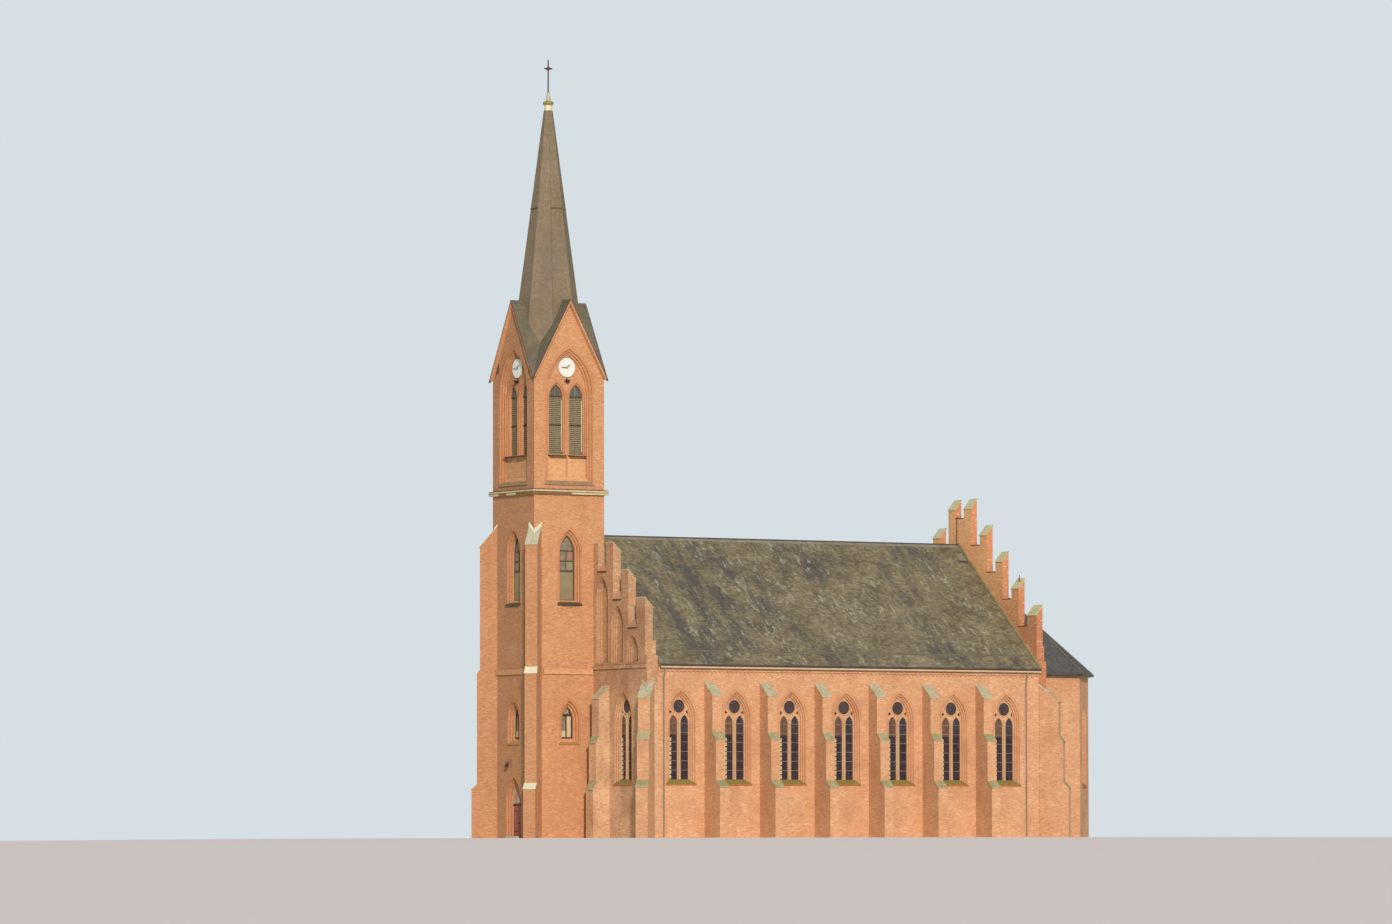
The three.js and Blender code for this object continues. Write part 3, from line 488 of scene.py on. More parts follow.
def sheet_finish(name, light, dark, roughness=0.5, metallic=0.0):
    """Old roof metal: dull, clouded and run with rain."""
    f = Finish(name, roughness, metallic)
    cloud = f.cloud(0.6, 0.3, 0.7, stretch=(1, 1, 3), detail=6, rough=0.65)
    return f.done(f.mix(cloud, sunlit(*light), sunlit(*dark)), f.noise(0.3, detail=3), 0.01, 0.3)


def wood_finish(name, light, dark, grain=(1, 1, 14)):
    """Painted or bare boards with grain and worn patches."""
    f = Finish(name, roughness=0.6)
    light, dark = sunlit(*light), sunlit(*dark)
    lines = f.cloud(0.05, 0.3, 0.7, stretch=grain, detail=5, rough=0.6)
    worn = f.cloud(0.7, 0.5, 0.8, detail=5)
    return f.done(f.cover(f.mix(lines, light, dark), light, worn, 0.4), lines, 0.004, 0.5)


def glass_finish(name, tint, see_through=0.0, roughness=0.15, shown=sunlit):
    """Old window glass: uneven, a little wavy, and partly seen through."""
    f = Finish(name, roughness)
    f.shader.inputs["Alpha"].default_value = 1 - see_through
    panes = f.mix(f.cloud(0.3, 0.3, 0.7, detail=1), shown(*tint), shade(shown(*tint), 1.7))
    return f.done(panes, f.noise(0.25, detail=2), 0.01, 0.25)


def iron_finish(name, colour, rust):
    """Dark iron with rust in spots."""
    f = Finish(name, roughness=0.55, metallic=0.3)
    spotted = f.mix(f.cloud(0.2, 0.45, 0.7, detail=5, rough=0.7), rgb(*colour), rgb(*rust))
    return f.done(spotted, f.noise(0.05), 0.003)


def cross_finish(name, brass, above):
    """The cross from its brass ring up. above holds, for each further part, its foot and its colour."""
    f = Finish(name, roughness=0.5, metallic=0.3)
    cloud = f.cloud(0.1, 0.3, 0.7, stretch=(1, 1, 2))
    colour = f.mix(cloud, sunlit(*brass), shade(sunlit(*brass), 0.6))
    for level, tint in above:
        part = f.mix(cloud, sunlit(*tint), shade(sunlit(*tint), 0.75))
        colour = f.mix(f.sum("GREATER_THAN", f.parts(f.spot)[2], level), colour, part)
    return f.done(colour, cloud, 0.003)


# Brick: the base colour, then mortar, stain and the paler bricks, and west_shade, the painted shade on faces to
# the west
TOWER_BRICK = brick_finish("tower_brick", (222, 156, 106), (228, 174, 128), (184, 120, 80), (240, 192, 146),
                           dirt=0.2, mottle=0.28, west_shade=0.24)
NAVE_BRICK = brick_finish("nave_brick", (230, 168, 120), (232, 188, 146), (192, 130, 90), (246, 208, 166),
                          dirt=0.25, mottle=0.42, west_shade=0.15)
FRONT_BRICK = brick_finish("west_front_brick", (210, 156, 112), (218, 176, 136), (164, 114, 82),
                           (240, 204, 166), dirt=0.35, mottle=0.55, west_shade=0.05,
                           foot=((242, 192, 144), 14.5, 12.0))
GABLE_BRICK = brick_finish("east_gable_brick", (255, 188, 126), (252, 200, 146), (226, 142, 92),
                           (255, 216, 166), dirt=0.25, west_shade=0.0, sides=(220, 138, 92),
                           foot=((184, 108, 74), 25.5, 19.0))
TOWER_ARCH = brick_finish("tower_arch_brick", (218, 150, 101), (224, 170, 122), (180, 114, 74),
                          (234, 184, 138), dirt=0.25, mottle=0.35, course=False, west_shade=0.24)
NAVE_ARCH = brick_finish("nave_arch_brick", (226, 162, 114), (232, 184, 140), (190, 126, 86), (242, 202, 158),
                         mottle=0.45, course=False, west_shade=0.15)
TRACERY_BRICK = brick_finish("tracery_brick", (222, 180, 132), (230, 190, 150), (180, 140, 100),
                             (240, 208, 164), dirt=0.35, mottle=0.4, course=False)
PANEL_BRICK = brick_finish("panel_brick", (234, 170, 114), (236, 184, 132), (214, 146, 94), (244, 200, 150),
                           dirt=0.1, mottle=0.2)

# Stone: light, dark and mossy colour, and how mossy it is
SALMON_BOARD = stone_finish("cornice_paint", (234, 200, 160), (214, 170, 128), (176, 134, 98), 0.2)
CREAM_STONE = stone_finish("cream_stone", (238, 218, 168), (206, 176, 122), (160, 124, 84), 0.2)
STAINED_STONE = stone_finish("stained_stone", (164, 114, 76), (136, 94, 64), (120, 92, 64))
CREAM_CAP = stone_finish("cream_cap", (212, 206, 176), (186, 180, 150), (176, 172, 134), 0.2)
BRIGHT_CAP = stone_finish("bright_cap", (242, 236, 200), (226, 216, 176), (206, 198, 148), 0.2)
MOSSY_CAP = stone_finish("mossy_cap", (218, 206, 170), (186, 170, 136), (168, 160, 120), 0.35)
GREEN_CAP = stone_finish("green_cap", (206, 192, 148), (174, 160, 118), (146, 142, 92), 0.5)
PINNACLE_CAP = stone_finish("pinnacle_cap", (234, 222, 176), (210, 196, 146), (180, 172, 120))
DARK_LEDGE = stone_finish("dark_ledge", (120, 82, 60), (92, 62, 48), (98, 84, 52))
GREY_SILL = stone_finish("grey_sill", (186, 146, 108), (152, 118, 88), (136, 112, 78))
MOSS_STAIN = stone_finish("moss_stain", (178, 136, 84), (150, 116, 70), (132, 108, 62), 0.4)
RELIEF_STONE = stone_finish("relief_stone", (206, 160, 130), (170, 122, 98), (140, 110, 86), 0.1)
FLOOR_STONE = stone_finish("floor_stone", (150, 140, 124), (118, 110, 98), (96, 92, 70), 0.1, rgb)
DARK_SILL = sill_finish("dark_sill", (92, 80, 58), (104, 96, 62))
OCHRE_SILL = sill_finish("ochre_sill", (206, 142, 68), (200, 150, 84))
NAVE_SILL = sill_finish("nave_sill", (218, 124, 66), (158, 136, 66))

# Slate: light, dark, growth and dark-patch colour, how its runs fall, and how much is grown over and darkened
# in patches
UPRIGHT = (1, 1, 6)
NAVE_SLATE = slate_finish("nave_slate", (156, 142, 108), (104, 92, 68), (176, 174, 150), (80, 76, 76),
                          (1, 3.4, 3.4), 0.75, 0.75)
TOWER_SLATE = slate_finish("tower_slate", (132, 120, 92), (110, 100, 80), (150, 146, 116), (122, 104, 92),
                           UPRIGHT, 0.2, 0.5)
CHANCEL_SLATE = slate_finish("chancel_slate", (108, 106, 98), (82, 82, 80), (128, 130, 112), (74, 76, 84),
                             (1, 5, 5), 0.3, 0.6)
SPIRE_SLATE = slate_finish("spire_slate", (152, 132, 102), (132, 112, 84), (168, 152, 120), (128, 110, 94),
                           UPRIGHT, 0.3, 0.35)

# Metal and wood: light and dark colour
ZINC = sheet_finish("weathered_zinc", (160, 150, 128), (124, 114, 96))
VERGE_SHEET = sheet_finish("verge_sheet", (176, 156, 112), (132, 112, 78))
# Dark metal, which also serves as painted shadow: the line under the string-course and the strip at the roof
# hatch's foot
DARK_SHEET_AND_PAINTED_SHADOW = sheet_finish("dark_sheet_and_painted_shadow", (96, 84, 74), (66, 58, 52))
HIP_SHEET = sheet_finish("hip_sheet", (124, 114, 92), (104, 94, 76))
RUSTY_SHEET = sheet_finish("rusty_sheet", (140, 98, 74), (110, 78, 60))
PALE_SHEET = sheet_finish("pale_sheet", (250, 244, 206), (226, 208, 156), 0.4)
LEADING = sheet_finish("lead_bars", (176, 160, 132), (132, 118, 98), 0.5, 0.2)
ENAMEL = sheet_finish("clock_enamel", (255, 252, 240), (246, 240, 222), 0.35)
HAND_METAL = sheet_finish("clock_hands", (146, 136, 108), (120, 110, 88), 0.6)
FAINT_MARK = sheet_finish("dial_marks", (206, 200, 176), (184, 178, 156))
IRON = iron_finish("dark_iron", (50, 44, 42), (86, 54, 42))
CROSS_METAL = cross_finish("cross_metal", (190, 158, 84), [
    (59.13, (214, 208, 176)), (59.82, (110, 104, 100)), (61.5, (120, 76, 76)), (61.95, (110, 104, 100))])
DOOR_WOOD = wood_finish("door_boards", (190, 112, 88), (154, 86, 68))
LOUVRE_WOOD = wood_finish("louvre_slats", (182, 168, 130), (148, 134, 102), (6, 6, 1))
DARK_FRAME = wood_finish("dark_frame", (86, 58, 46), (62, 42, 36))
GREY_FRAME = wood_finish("grey_frame", (104, 88, 70), (82, 68, 54))
# Pale boards, also used for the strips of painted light in the two-light windows
PALE_BOARD_AND_PAINTED_LIGHT = wood_finish("pale_board", (232, 214, 164), (206, 186, 140))
OLIVE_BOARD = wood_finish("olive_board", (168, 150, 112), (146, 130, 96))
PINK_PANE = wood_finish("pink_pane", (186, 132, 104), (164, 122, 98))
SAGE_PANE = wood_finish("sage_pane", (168, 156, 112), (148, 138, 100))

# Glass: its colour, and how much is seen through it
WINDOW_GLASS = glass_finish("old_window_glass", (58, 50, 56), 0.35, shown=rgb)
RUDDY_GLASS = glass_finish("ruddy_glass", (112, 80, 62), 0.1)
DUSKY_GLASS = glass_finish("dusky_glass", (66, 56, 60), 0.1)
CLEAR_GLASS = glass_finish("clear_glass", (90, 92, 94), 0.9, shown=rgb)
ROSE_GLASS = glass_finish("rose_glass", (80, 64, 64), 0.15)
TOWER_PANE = glass_finish("tower_panes", (130, 116, 96), roughness=0.3)
HEAD_PANE = glass_finish("louvre_heads", (86, 84, 74), roughness=0.45)

NODE_FINISH = {
    "brick": TOWER_BRICK, "pale_stone": CREAM_STONE, "slate": TOWER_SLATE, "spire_slate": SPIRE_SLATE,
    "lead": PALE_SHEET, "ironwork": IRON, "door_wood": DOOR_WOOD, "window_glass": CLEAR_GLASS,
    "louvres": LOUVRE_WOOD, "clock_face": ENAMEL, "floor_stone": FLOOR_STONE,
}
SPECIAL_FINISH = {
    "nave_wall": NAVE_BRICK, "nave_buttress": NAVE_BRICK, "chancel_wall": NAVE_BRICK, "apse_wall": NAVE_BRICK,
    "west_front": FRONT_BRICK, "east_gable": GABLE_BRICK, "nave_roof": NAVE_SLATE,
    "chancel_roof": CHANCEL_SLATE, "tower_glass": TOWER_PANE, "spire_cross": CROSS_METAL,
    "hour_hand": HAND_METAL, "minute_hand": HAND_METAL,
}

# Every new piece, with its finish and the slot that it belongs to
PIECES = {
    "window_mouldings": (NAVE_ARCH, "brick"),
    "window_arch_bricks": (NAVE_ARCH, "brick"),
    "window_tracery": (TRACERY_BRICK, "brick"),
    "window_panes": (WINDOW_GLASS, "window_glass"),
    # Pale strips of painted light in the left lancets
    "window_pale_panes": (PALE_BOARD_AND_PAINTED_LIGHT, "window_glass"),
    "window_ruddy_heads": (RUDDY_GLASS, "window_glass"),
    "window_dusky_heads": (DUSKY_GLASS, "window_glass"),
    "window_roses": (ROSE_GLASS, "window_glass"),
    "window_cames": (IRON, "ironwork"),
    "window_rose_lead": (DARK_FRAME, "ironwork"),
    "window_bars": (LEADING, "lead"),
    "window_sills": (NAVE_SILL, "brick"),
    "lancet_mouldings": (TOWER_ARCH, "brick"),
    "lancet_arch_bricks": (TOWER_ARCH, "brick"),
    "lancet_panes": (TOWER_PANE, "window_glass"),
    "lancet_frames": (GREY_FRAME, "ironwork"),
    "lancet_dark_frames": (DARK_FRAME, "ironwork"),
    "lancet_pale_boards": (PALE_BOARD_AND_PAINTED_LIGHT, "louvres"),
    "lancet_pink_panes": (PINK_PANE, "louvres"),
    "lancet_sage_panes": (SAGE_PANE, "louvres"),
    "lancet_moss": (MOSS_STAIN, "brick"),
    "lancet_olive_boards": (OLIVE_BOARD, "louvres"),
    "lancet_dark_sills": (DARK_SILL, "pale_stone"),
    "lancet_brick_sills": (OCHRE_SILL, "brick"),
    "apse_mouldings": (NAVE_ARCH, "brick"),
    "apse_arch_bricks": (NAVE_ARCH, "brick"),
    "apse_panes": (DUSKY_GLASS, "window_glass"),
    "apse_bars": (LEADING, "lead"),
    "apse_sills": (NAVE_SILL, "brick"),
    "belfry_mouldings": (TOWER_ARCH, "brick"),
    "belfry_arch_bricks": (TOWER_ARCH, "brick"),
    "belfry_panels": (PANEL_BRICK, "brick"),
    "belfry_slats": (LOUVRE_WOOD, "louvres"),
    "belfry_glazed_heads": (HEAD_PANE, "window_glass"),
    "belfry_lines": (LEADING, "lead"),
    "belfry_edge_strips": (PALE_SHEET, "lead"),
    "belfry_cross_bars": (DARK_FRAME, "ironwork"),
    "belfry_light_sills": (DARK_LEDGE, "pale_stone"),
    "belfry_recess_sills": (GREY_SILL, "pale_stone"),
    "belfry_sill_bricks": (PANEL_BRICK, "brick"),
    "gable_verge_bricks": (TOWER_BRICK, "brick"),
    "dial_lamps": (IRON, "ironwork"),
    "clock_rims": (LEADING, "lead"),
    "clock_marks": (FAINT_MARK, "ironwork"),
    "still_hands": (HAND_METAL, "ironwork"),
    "tower_buttress_caps": (CREAM_CAP, "pale_stone"),
    "tower_buttress_strips": (BRIGHT_CAP, "pale_stone"),
    "nave_buttress_caps": (MOSSY_CAP, "pale_stone"),
    "nave_buttress_low_caps": (GREEN_CAP, "pale_stone"),
    "pinnacle_caps": (PINNACLE_CAP, "pale_stone"),
    "gap_copings": (FRONT_BRICK, "brick"),
    "gap_drips": (DARK_LEDGE, "pale_stone"),
    "blind_arch_mouldings": (FRONT_BRICK, "brick"),
    "blind_arch_bricks": (FRONT_BRICK, "brick"),
    "blind_arch_sills": (DARK_LEDGE, "pale_stone"),
    # The string-course's dark metal drip, and a dark line of painted shadow under it
    "string_drip": (DARK_SHEET_AND_PAINTED_SHADOW, "lead"),
    "string_pale_edge": (CREAM_STONE, "pale_stone"),
    "string_stains": (STAINED_STONE, "pale_stone"),
    "brick_band_dentils": (PANEL_BRICK, "brick"),
    "nave_gutters": (DARK_SHEET_AND_PAINTED_SHADOW, "lead"),
    "nave_cornice_boards": (SALMON_BOARD, "pale_stone"),
    "nave_corbels": (NAVE_ARCH, "brick"),
    "nave_slates_south": (NAVE_SLATE, "slate"),
    "nave_slates_north": (NAVE_SLATE, "slate"),
    "nave_ridge_flaps": (ZINC, "lead"),
    "nave_ridge": (DARK_SHEET_AND_PAINTED_SHADOW, "lead"),
    "east_flashings": (VERGE_SHEET, "lead"),
    "snow_boards": (HIP_SHEET, "lead"),
    "roof_hatch": (ZINC, "lead"),
    # A dark strip at the hatch's foot: painted shadow
    "roof_hatch_foot": (DARK_SHEET_AND_PAINTED_SHADOW, "lead"),
    "spire_slates": (SPIRE_SLATE, "spire_slate"),
    "spire_west_ledges": (DARK_SHEET_AND_PAINTED_SHADOW, "lead"),
    "spire_south_ledges": (RUSTY_SHEET, "lead"),
    "spire_hips": (HIP_SHEET, "lead"),
    "gable_slates": (TOWER_SLATE, "slate"),
    "gable_ridges": (HIP_SHEET, "lead"),
    "gable_verges": (DARK_SHEET_AND_PAINTED_SHADOW, "lead"),
    "chancel_slates": (CHANCEL_SLATE, "slate"),
    "chancel_hips": (HIP_SHEET, "lead"),
    "chancel_gutters": (DARK_SHEET_AND_PAINTED_SHADOW, "lead"),
    "portal_mouldings": (TOWER_ARCH, "brick"),
    "portal_arch_bricks": (TOWER_ARCH, "brick"),
    "portal_tympanum": (RELIEF_STONE, "pale_stone"),
    "portal_relief": (CREAM_CAP, "pale_stone"),
    "portal_transom": (DARK_FRAME, "door_wood"),
    "portal_step": (CREAM_CAP, "pale_stone"),
    "door_north_boards": (DOOR_WOOD, "door_wood"),
    "door_north_rails": (DOOR_WOOD, "door_wood"),
    "door_north_ironwork": (IRON, "ironwork"),
    "door_south_boards": (DOOR_WOOD, "door_wood"),
    "door_south_rails": (DOOR_WOOD, "door_wood"),
    "door_south_ironwork": (IRON, "ironwork"),
    "rain_pipes": (ZINC, "lead"),
    "lightning_cable": (IRON, "ironwork"),
    "door_lamp_globe": (ZINC, "lead"),
    "door_lamp": (IRON, "ironwork"),
}
SMOOTH_PIECES = ("door_lamp_globe",)
LEAVES = {"door_north": -1, "door_south": 1}
shapes_of = {name: [] for name in PIECES}


def add(name, face, *shapes):
    """Gives a piece more shapes, drawn on a face of the building."""
    shapes_of[name] += [face.put(shape) for shape in shapes]


def make(name):
    """One piece from its shapes: its mesh, finish and body. Closed shapes get outward faces. Slates are
    open underneath and face outwards already, and each has its own tone."""
    finish, slot = PIECES[name]
    shapes = shapes_of[name]
    starts = np.cumsum([0] + [len(shape[0]) for shape in shapes]).tolist()
    faces = [[i + start for i in side] for start, shape in zip(starts, shapes) for side in shape[1]]
    mesh = bpy.data.meshes.new(name)
    mesh.from_pydata(place(np.concatenate([shape[0] for shape in shapes])).tolist(), [], faces)
    tones = [tone for shape in shapes for tone in shape[2:]]
    if tones:
        attribute = mesh.attributes.new("tone", "FLOAT", "FACE")
        attribute.data.foreach_set("value", np.concatenate(tones).astype(np.float32))
    else:
        solid = bmesh.new()
        solid.from_mesh(mesh)
        bmesh.ops.recalc_face_normals(solid, faces=solid.faces)
        solid.to_mesh(mesh)
        solid.free()
    mesh.polygons.foreach_set("use_smooth", np.full(len(mesh.polygons), name in SMOOTH_PIECES))
    mesh.materials.append(finish)
    piece = linked(name, mesh)
    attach(piece, next((leaf for leaf in LEAVES if name.startswith(leaf)), "church"))


def finish_nodes():
    """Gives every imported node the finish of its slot, or its own where its name starts with a special one."""
    slots = {part["node"]: part["material_slot"] for part in frame["record"]["subparts"]}
    for name, node in frame["nodes"].items():
        own = [finish for start, finish in SPECIAL_FINISH.items() if name.startswith(start)]
        finish = own[0] if own else NODE_FINISH[slots[name]]
        for holder in node.material_slots:
            holder.material = finish
        if not node.material_slots:
            node.data.materials.append(finish)


# Faces of the building. Shapes on PLAN are given in the building's own X, Y and Z.
TOWER_FACES = {side: Face(TOWER_HALF, 0, turn, TOWER_HALF)
               for side, turn in (("south", 0), ("east", 90), ("north", 180), ("west", 270))}
WEST_FRONT = Face(FRONT_X, 0, 270)
EAST_GABLE = Face(EAST_FACE, 0, 90)
NAVE_FACES = ((Face(0, 0, 0, NAVE_HALF), 1), (Face(0, 0, 180, NAVE_HALF), -1))
AXIS_FACES = ((Face(0, 0, 0), 1), (Face(0, 0, 180), -1))
LYING_SOUTH = AXIS_FACES[0][0]
APSE_TURNS = (45, 90, 135)
PLAN = Face(0, 0, 0)
PLAN.axes = np.eye(3)


def surround(name, face, orders, foot, spring, radius, centre=0.0, bricks="_arch_bricks"):
    """Round an opening: a half-sunk round moulding on the edge of each order, which lies at the depth of the
    one before it, and a ring of arch bricks over the widest."""
    widest = orders[0][0]
    outs = [0.0] + [-depth for _, depth in orders]
    for (half, _), out in zip(orders, outs):
        path = arch(half, foot, spring, radius - (widest - half), centre)
        add(name + "_mouldings", face, carried(rod(0.055, 6, out - 0.035, 0.04), path))
    add(name + bricks, face, arch_bricks(widest, spring, radius, centre))


def innermost(orders, radius):
    """Half the width, and the arch's radius, of an opening's last order. All orders' arcs have the same
    centres, so the radius shrinks as the half width does."""
    half = orders[-1][0]
    return half, radius - orders[0][0] + half


def arch_bricks(half, spring, radius, centre=0.0, width=0.25, out=0.0):
    """A ring of arch bricks over an opening's head: its path without the jambs, cut into wedges."""
    path = arch(half, spring - 0.01, spring, radius, centre, 24)[1:-1]
    return voussoirs(path, 0.02, 0.02 + width, out - 0.03, out + 0.006)


def sill(low, high, centre, half, depth, proud=0.09, thick=0.07):
    """A sloping sill: from the front edge at low, up to high at the back, with a drip edge."""
    outline = [(low - thick, proud), (low - 0.01, proud), (high + 0.015, -depth), (high - 0.1, -depth),
               (low - thick, 0.0)]
    return drawn_out(outline, *about(centre, half), ALONG)


def pane(outline, out, thick=0.006):
    """A sheet of glass of any outline."""
    return drawn_out(outline, out - thick, out, OUT)


def light_bars(centre, half, foot, spring, out, pitch=0.74, width=0.035, thick=0.03):
    """Level bars across one lancet. Each ends where the arch, whose radius is the lancet's width, stands at
    its height."""
    radius = 2 * half
    levels = np.arange(foot + pitch, spring + math.sqrt(3) * half - 0.1, pitch)
    rise = np.clip(levels - spring, 0.0, None)
    wide = half + np.sqrt(np.maximum(radius ** 2 - rise ** 2, 0)) - radius + 0.01
    return block(about(centre, wide), about(levels, width / 2), (out, out + thick))


# Two-light windows
WINDOW_ORDERS = [(1.3, 0.12), (1.16, 0.24), (1.02, 0.36)]
WINDOW_SPRING = 9.38
WINDOW_RADIUS = 2.5
WINDOW_SILL = 4.23
LIGHT_HALF = 0.355
LIGHT_CENTRE = 0.515
LIGHT_FOOT = 4.6
LIGHT_SPRING = 9.085
HEAD_FOOT = 8.12
ROSE_Z = 10.38
ROSE_RADIUS = 0.53
PLATE_FRONT = -0.36
PANE_OUT = -0.43
WEST_WINDOW = 7.75
CHANCEL_WINDOW = 47.6


def window_places():
    """Every two-light window: its wall's face and its middle along that face."""
    places = [(face, sign * (WINDOW_FIRST + i * WINDOW_PITCH))
              for face, sign in NAVE_FACES for i in range(WINDOW_COUNT)]
    places += [(WEST_FRONT, side * WEST_WINDOW) for side in (-1, 1)]
    places += [(Face(0, 0, turn, CHANCEL_HALF), sign * CHANCEL_WINDOW) for turn, sign in ((0, 1), (180, -1))]
    return places


def tracery(face, centre):
    """Moulded brick tracery on the plate: round the two lancets and the rose, and a shaft between the lights.
    In the rose, lead: an outer ring, an inner ring and six spokes between them."""
    front, rose = PLATE_FRONT, (centre, ROSE_Z)
    rim = [(-0.03, front - 0.01), (0.05, front - 0.01), (0.04, front + 0.03), (-0.02, front + 0.03)]
    for side in (-1, 1):
        light = arch(LIGHT_HALF + 0.03, LIGHT_FOOT, LIGHT_SPRING, 2 * LIGHT_HALF + 0.03,
                     centre + side * LIGHT_CENTRE, 8)
        add("window_tracery", face, carried(rim, light))
    add("window_tracery", face, hoop(ROSE_RADIUS + 0.04, rose, 0.05, front + 0.015, 28, 8),
        drawn_out(circle(0.07, (centre, front + 0.02), 8), LIGHT_FOOT, 9.5, UP))
    for low, high, size in ((LIGHT_FOOT, LIGHT_FOOT + 0.2, 0.1), (9.04, 9.2, 0.11)):
        add("window_tracery", face, block(about(centre, size), (low, high), (front - 0.01, front + 0.11)))
    add("window_rose_lead", face, hoop(ROSE_RADIUS - 0.02, rose, 0.03, PANE_OUT + 0.02, 24),
        hoop(0.2, rose, 0.014, PANE_OUT + 0.01))
    for k in range(6):
        add("window_rose_lead", face, strip(ray(k / 6, 0.2, 0.51, rose), 0.02, PANE_OUT, PANE_OUT + 0.012))


def two_light_windows():
    """All two-light windows: mouldings, arch bricks, tracery, glass, lead, cross bars and sills, and pale
    strips of painted light at each left lancet's left edge, for the far windows seen through the church.
    """
    for face, centre in window_places():
        surround("window", face, WINDOW_ORDERS, LIGHT_FOOT - 0.3, WINDOW_SPRING, WINDOW_RADIUS, centre)
        tracery(face, centre)
        add("window_roses", face, pane(circle(ROSE_RADIUS, (centre, ROSE_Z), 24), PANE_OUT))
        for side, head in ((-1, "window_ruddy_heads"), (1, "window_dusky_heads")):
            middle = centre + side * LIGHT_CENTRE
            size = (middle, LIGHT_HALF, LIGHT_FOOT, LIGHT_SPRING)
            light, upper = (arch(LIGHT_HALF, foot, LIGHT_SPRING, 2 * LIGHT_HALF, middle, 8)
                            for foot in (LIGHT_FOOT, HEAD_FOOT))
            add("window_panes", face, pane(light, PANE_OUT))
            add(head, face, pane(upper, PANE_OUT + 0.008))
            cames = middle + np.array([-0.12, 0.12])
            add("window_cames", face,
                block(about(cames, 0.006), (LIGHT_FOOT, 9.1), (PANE_OUT, PANE_OUT + 0.014)),
                light_bars(*size, PANE_OUT, 0.148, 0.012, 0.014))
            add("window_bars", face, light_bars(*size, PANE_OUT + 0.01))
        # Pale strips up the left lancet's left edge: painted light, for the far windows seen through the church
        levels = np.arange(LIGHT_FOOT + 0.08, 8.0, 0.37)
        near = centre - LIGHT_CENTRE - LIGHT_HALF
        add("window_pale_panes", face,
            block((near, near + 0.2), (levels, levels + 0.27), (PANE_OUT, PANE_OUT + 0.012)))
        add("window_sills", face, sill(WINDOW_SILL, LIGHT_FOOT, centre, 1.42, 0.36))


# The tower's lancets: the orders, the spring line, the radius and the low edge of the sill
LOW_LANCET = ([(0.9, 0.16), (0.72, 0.32), (0.54, 0.4)], 9.32, 1.8, 7.48)
MIDDLE_LANCET = ([(1.03, 0.16), (0.87, 0.32), (0.71, 0.4)], 22.72, 2.06, 18.61)
LANCET_OUT = -0.56
LOW_FOOT = 7.9
LOW_BAR = 9.72
MIDDLE_FOOT = 18.9
MIDDLE_BAR = 21.24


def framed_pane(face, lancet, foot, frame_name, width, depth, steps=10):
    """The pane of a lancet, which fills the innermost order's arch, and the frame round it: a flat bar
    carried along the same arch a little further in."""
    orders, spring, radius, _ = lancet
    half, radius = innermost(orders, radius)
    inset = 0.04
    add("lancet_panes", face, pane(arch(half, foot - 0.05, spring, radius, 0.0, steps), LANCET_OUT))
    edge = arch(half - inset, foot, spring, radius - inset, 0.0, steps)
    add(frame_name, face, strip(edge, width, LANCET_OUT, LANCET_OUT + depth))


def middle_lancet(face):
    """The middle lancet: panes in a grey frame over olive boards, with slats at the foot, and under its sill
    moss. The moss hangs as deep as a constant and two sine waves together, and less towards both ends."""
    out, top_bar = LANCET_OUT, MIDDLE_BAR + 1.62
    glazed = (out + 0.002, out + 0.014)
    framed_pane(face, MIDDLE_LANCET, MIDDLE_FOOT, "lancet_frames", 0.08, 0.06, 12)
    add("lancet_frames", face, block((-0.025, 0.025), (MIDDLE_BAR, top_bar), (out, out + 0.06)))
    for z, half_width in ((MIDDLE_BAR, 0.07), (MIDDLE_BAR + 0.8, 0.035), (top_bar, 0.035)):
        add("lancet_frames", face, block((-0.7, 0.7), about(z, half_width), (out, out + 0.07)))
    slats = np.arange(19.02, 19.8, 0.13)
    add("lancet_olive_boards", face,
        block((-0.68, 0.68), (MIDDLE_FOOT + 0.05, MIDDLE_BAR - 0.06), (out, out + 0.03)),
        block((-0.66, 0.66), (slats, slats + 0.04), (out + 0.025, out + 0.05)))
    add("lancet_pink_panes", face, block((0.18, 0.6), (MIDDLE_BAR + 0.86, top_bar - 0.06), glazed))
    add("lancet_sage_panes", face, block((0.04, 0.63), (MIDDLE_BAR + 0.08, MIDDLE_BAR + 0.75), glazed))
    add("lancet_dark_sills", face,
        sill(MIDDLE_LANCET[3], MIDDLE_FOOT, 0.0, 1.12, -out, proud=0.16, thick=0.1))
    across = np.linspace(-0.8, 0.8, 33)
    depth = (0.1 + 0.13 * np.abs(np.sin(8.3 * across)) + 0.08 * np.sin(27 * across)) * (1 - across ** 2)
    top = MIDDLE_FOOT - 0.38
    hang = np.concatenate([[(0.85, top), (-0.85, top)], np.stack([across, top - 0.02 - depth], 1)])
    add("lancet_moss", face, drawn_out(hang, -0.01, 0.004, OUT))


def low_lancet(face):
    """The low lancet: a dark red-brown frame with a cross bar, a round light over it and pale boards."""
    out = LANCET_OUT
    framed_pane(face, LOW_LANCET, LOW_FOOT, "lancet_dark_frames", 0.09, 0.07)
    add("lancet_dark_frames", face, block((-0.52, 0.52), (LOW_BAR, LOW_BAR + 0.12), (out, out + 0.09)),
        block((-0.03, 0.03), (LOW_FOOT, LOW_BAR + 0.02), (out, out + 0.08)),
        block((-0.5, 0.5), (LOW_FOOT - 0.04, LOW_FOOT + 0.1), (out, out + 0.09)))
    add("lancet_pale_boards", face, hoop(0.17, (0.0, LOW_BAR + 0.38), 0.035, out + 0.03),
        block((0.06, 0.44), (LOW_FOOT + 0.12, LOW_BAR - 0.06), (out, out + 0.03)),
        block((-0.44, -0.06), (LOW_FOOT + 0.12, LOW_FOOT + 0.6), (out, out + 0.03)))
    add("lancet_brick_sills", face, sill(LOW_LANCET[3], LOW_FOOT - 0.01, 0.0, 0.98, -out, proud=0.08))


